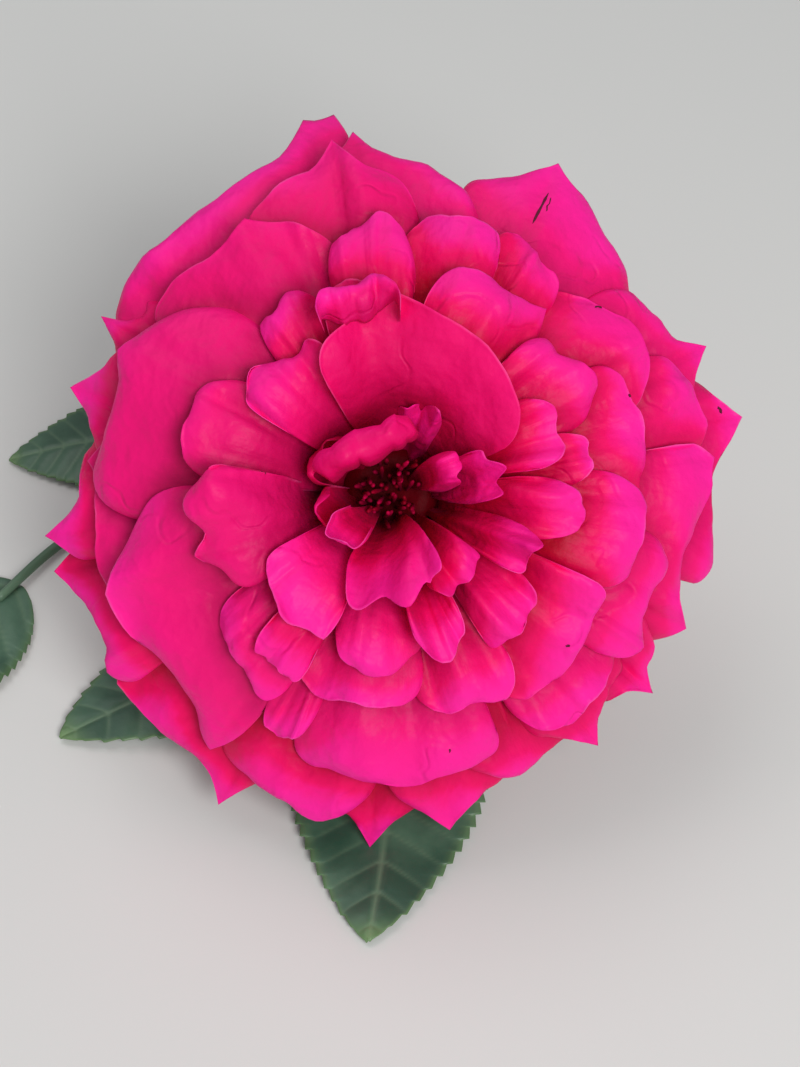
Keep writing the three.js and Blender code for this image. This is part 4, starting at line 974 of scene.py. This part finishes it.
parts = [turned_part(smooth_outline(HIP, 40), GREEN_KEYS)]
for n in range(5):
    grid, t, s = sepal_grid(math.radians(72 * n + 20), n)
    keel, margin = 0.5 * np.exp(-((s / 0.12) ** 2)), np.abs(s) ** 6
    parts.append(slab_part(from_bloom(grid), SEPAL_THICK, GREEN_KEYS, vein=keel, edge=margin))
add_piece("hip_and_sepals_fine", parts, STEM_GREEN, "hip_and_sepals")
print("hip and sepals placed")

# %% [markdown]
# The stem leaves the hip on the bloom's axis, bends down to the table and lies along it to the
# cut. A tube along its middle line is enough; its radius swells where the leaves join. The
# cut shows the paler pith as a small disc of its own inside the green rim.

# %% Stem with its cut end
PITH_RADIUS, PITH_SUNK, PITH_PROUD = 1.65, 0.4, 0.05
length = np.concatenate([[0], np.cumsum(np.linalg.norm(np.diff(STEM, axis=0), axis=1))])
fine_length = np.linspace(0, length[-1], 110)
path = np.stack([np.interp(fine_length, length, STEM[:, k]) for k in range(3)], -1)
swell = 1 + 0.09 * np.exp(-(((fine_length - 0.62 * length[-1]) / 2.5) ** 2))
radii = (STEM_RADIUS - 0.1) * swell * (1 + 0.012 * np.sin(0.9 * fine_length))
stem = tube_part(path + SHIFT, radii, 24, GREEN_KEYS)
add_piece("cut_stem_fine", [stem], STEM_GREEN, "cut_stem")
ends = path[-1] + SHIFT + np.array([[0, -PITH_SUNK, 0], [0, PITH_PROUD, 0]])
pith = tube_part(ends, [PITH_RADIUS, PITH_RADIUS], 24, ())
add_piece("cut_stem_pith", [pith], PITH, "cut_stem", smooth=False)
print("stem length", round(length[-1], 1), "mm")

# %% [markdown]
# A leaflet is one grid whose margin follows a saw, with a folded midrib and side veins pressed
# into the blade. It lies on the table, so the blade only arches up by a millimetre or two.

# %% One leaflet
TEETH, VEIN_STEPS = 24, 9.5
LEAF_THICK = 0.34


def ahead_and_side(heading):
    """Unit vectors on the table along a heading in degrees and to its left."""
    phi = math.radians(heading)
    return np.array([math.cos(phi), math.sin(phi), 0]), np.array([-math.sin(phi), math.cos(phi), 0])


def leaflet_part(x, y, heading, length, width, seed):
    """One leaflet. Half width = 0.56 width sin(pi t^0.86)^0.75 (1 - t/4), times a saw of
    TEETH teeth; side veins run where (t length - 0.7 distance to midrib) is a whole spacing."""
    rows, cols = ((TEETH * 8, 29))
    t, s = np.meshgrid(np.linspace(0, 1, rows + 1), np.linspace(-1, 1, cols), indexing="ij")
    ahead, side = ahead_and_side(heading)
    belly = np.sin(np.pi * t**0.86).clip(0) ** 0.75 * (1 - 0.25 * t)
    saw = (t * TEETH) % 1
    saw = np.where(saw > 0.8, (1 - saw) * 4, saw * 1.25) * np.minimum(1, 6 * t * (1 - t) * 2)
    half = np.maximum(0.3, 0.56 * width * belly * (0.97 + 0.055 * saw * np.abs(s) ** 6))
    place = t * length + 0.01 * length * saw * np.abs(s) ** 6 - 0.05 * length * np.abs(s) * (1 - t)
    distance = s * half
    rise = 0.7 + 1.4 * np.sin(np.pi * t) + 0.4 * np.sin(7 * t + seed)
    droop = np.abs(s) * (0.55 + 0.45 * np.cos(5 * t + 2 * seed + s))
    phase = (t * length - 0.7 * np.abs(distance)) / (length / VEIN_STEPS)
    to_vein = np.abs((phase + 0.5) % 1 - 0.5) * length / VEIN_STEPS
    lateral = np.exp(-((to_vein / 0.42) ** 2)) * (1 - 0.5 * np.abs(s)) * (np.abs(s) > 0.03)
    midrib = np.exp(-((distance / 0.5) ** 2))
    fold = np.minimum(1, np.abs(distance) / 2)
    z = 0.725 + rise * (1 - 0.75 * droop) + 0.22 * np.sin(np.pi * (phase % 1)) ** 2 * fold - 0.16 * lateral
    z = z - 0.35 * midrib
    shift = SHIFT + np.array([x, y, 0])
    grid = shift + place[..., None] * ahead + z[..., None] * np.array([0, 0, 1])
    grid = grid + (distance + 0.06 * length * np.sin(np.pi * t) * math.sin(seed))[..., None] * side
    vein = np.clip(0.7 * lateral + midrib, 0, 1)
    edge = np.clip((np.abs(s) - 0.9) * 10, 0, 1) * (0.5 + 0.5 * t) + np.exp(-(((1 - t) / 0.05) ** 2))
    return slab_part(grid, LEAF_THICK, GREEN_KEYS, vein=vein, edge=np.clip(edge, 0, 1))


print("a leaflet has", TEETH, "teeth on each side")

# %% [markdown]
# Rose leaves are compound: leaflets on a common stalk, which thins towards its end. The stalk's
# path is a few points from the stem outwards, and each leaflet has a short stalk of its own.

# %% Whole leaves


def stalk_part(points, thick=0.85):
    """Stalk on a rounded path, thicker at the stem."""
    path = smooth_outline(points, 60) + SHIFT
    return tube_part(path, thick * np.linspace(1.5, 1.0, len(path)), 14, GREEN_KEYS, vein=0.6)


def leaf(name, stalk_points, leaflets):
    """A leaf: its stalk, its leaflets and a short stalk and midrib under each."""
    spine = smooth_outline(stalk_points, 60)
    parts = [stalk_part(stalk_points)]
    for x, y, heading, length, width, seed in leaflets:
        parts.append(leaflet_part(x, y, heading, length, width, seed))
        base = np.array([x, y, 1.3])
        near = spine[np.argmin(np.linalg.norm(spine - base, axis=1))]
        ahead, _ = ahead_and_side(heading)
        foot = base + ahead * 0.05 * length
        parts.append(stalk_part([near, (near + foot) / 2, foot, foot + 0.08 * length * ahead], 0.5))
    add_piece(name + "_fine", parts, LEAF, name)


leaf("front_leaf", [[3.4, 46.7, 4.6], [4.6, 36, 2.2], [-2, 22, 1.6], [-6.5, 8, 1.8], [-4, -10, 2.2]],
     [(-3.6, -5, 270, 58, 35, 1.0), (-10, 15, 217, 60, 33, 2.2), (-3, 16, 12, 50, 32, 3.1)])
leaf("left_leaf", [[-4.0, 59.7, 3.1], [-22, 51, 1.6], [-43, 40, 1.5], [-61, 25, 1.6], [-72, 10, 2.2]],
     [(-32, 49.5, 184, 42, 26, 4.0), (-70, 13, 234, 46, 31, 5.2)])
print("leaves placed")

# %% [markdown]
# The photograph looks into the open bloom, so the camera stands on the bloom's axis, 42.5 cm
# from its foot. The light is the soft light of an overcast day: a pane in front on the right, a
# larger and weaker one above, and a pale surround.

# %% Camera, light and table
ASIDE, BELOW = 1.6, 6.9  # where the view's middle lies from the bloom's, in mm


def matrix_of(x, y, z, place):
    """The matrix of an object with these axes at this place."""
    return Matrix([[x[k], y[k], z[k], place[k]] for k in range(3)] + [[0, 0, 0, 1]])


scene = bpy.context.scene
camera_data = bpy.data.cameras.new("camera")
camera_data.sensor_width, camera_data.lens = 36, 85
camera = in_scene("camera", camera_data)
place = (FOOT + ASIDE * RIGHT - BELOW * UP + EYE * FRONT) * MM
camera.matrix_world = matrix_of(RIGHT, UP, FRONT, place)
scene.camera = camera
print("camera at", place.round(3), "m")


def pane(name, location, target, size, watts):
    """Square soft light that faces a point."""
    data = bpy.data.lights.new(name, "AREA")
    data.size, data.energy = size, watts
    to = np.array(location, float) - np.array(target, float)
    z = to / np.linalg.norm(to)
    x = np.cross([0, 1, 0.01], z)
    x /= np.linalg.norm(x)
    y = np.cross(z, x)
    in_scene(name, data).matrix_world = matrix_of(x, y, z, location)


pane("key", (0.3, -0.75, 0.72), (0, 0, 0.05), 0.4, 7.3)
pane("overhead", (-0.25, 0.25, 0.9), (0, 0, 0.03), 0.6, 2.0)
world = bpy.data.worlds.new("surround")
world.use_nodes = True
world.node_tree.nodes["Background"].inputs["Color"].default_value = (0.95, 0.97, 1.0, 1)
world.node_tree.nodes["Background"].inputs["Strength"].default_value = 0.3
scene.world = world
scene.view_settings.view_transform = "Standard"

floor_mesh = bpy.data.meshes.new("table")
floor_mesh.from_pydata([(-2, -2, 0), (2, -2, 0), (2, 2, 0), (-2, 2, 0)], [], [(0, 1, 2, 3)])
floor = in_scene("table", floor_mesh)
floor.data.materials.append(plain_material("table", (0.72, 0.72, 0.7, 1), 0.7)[0])
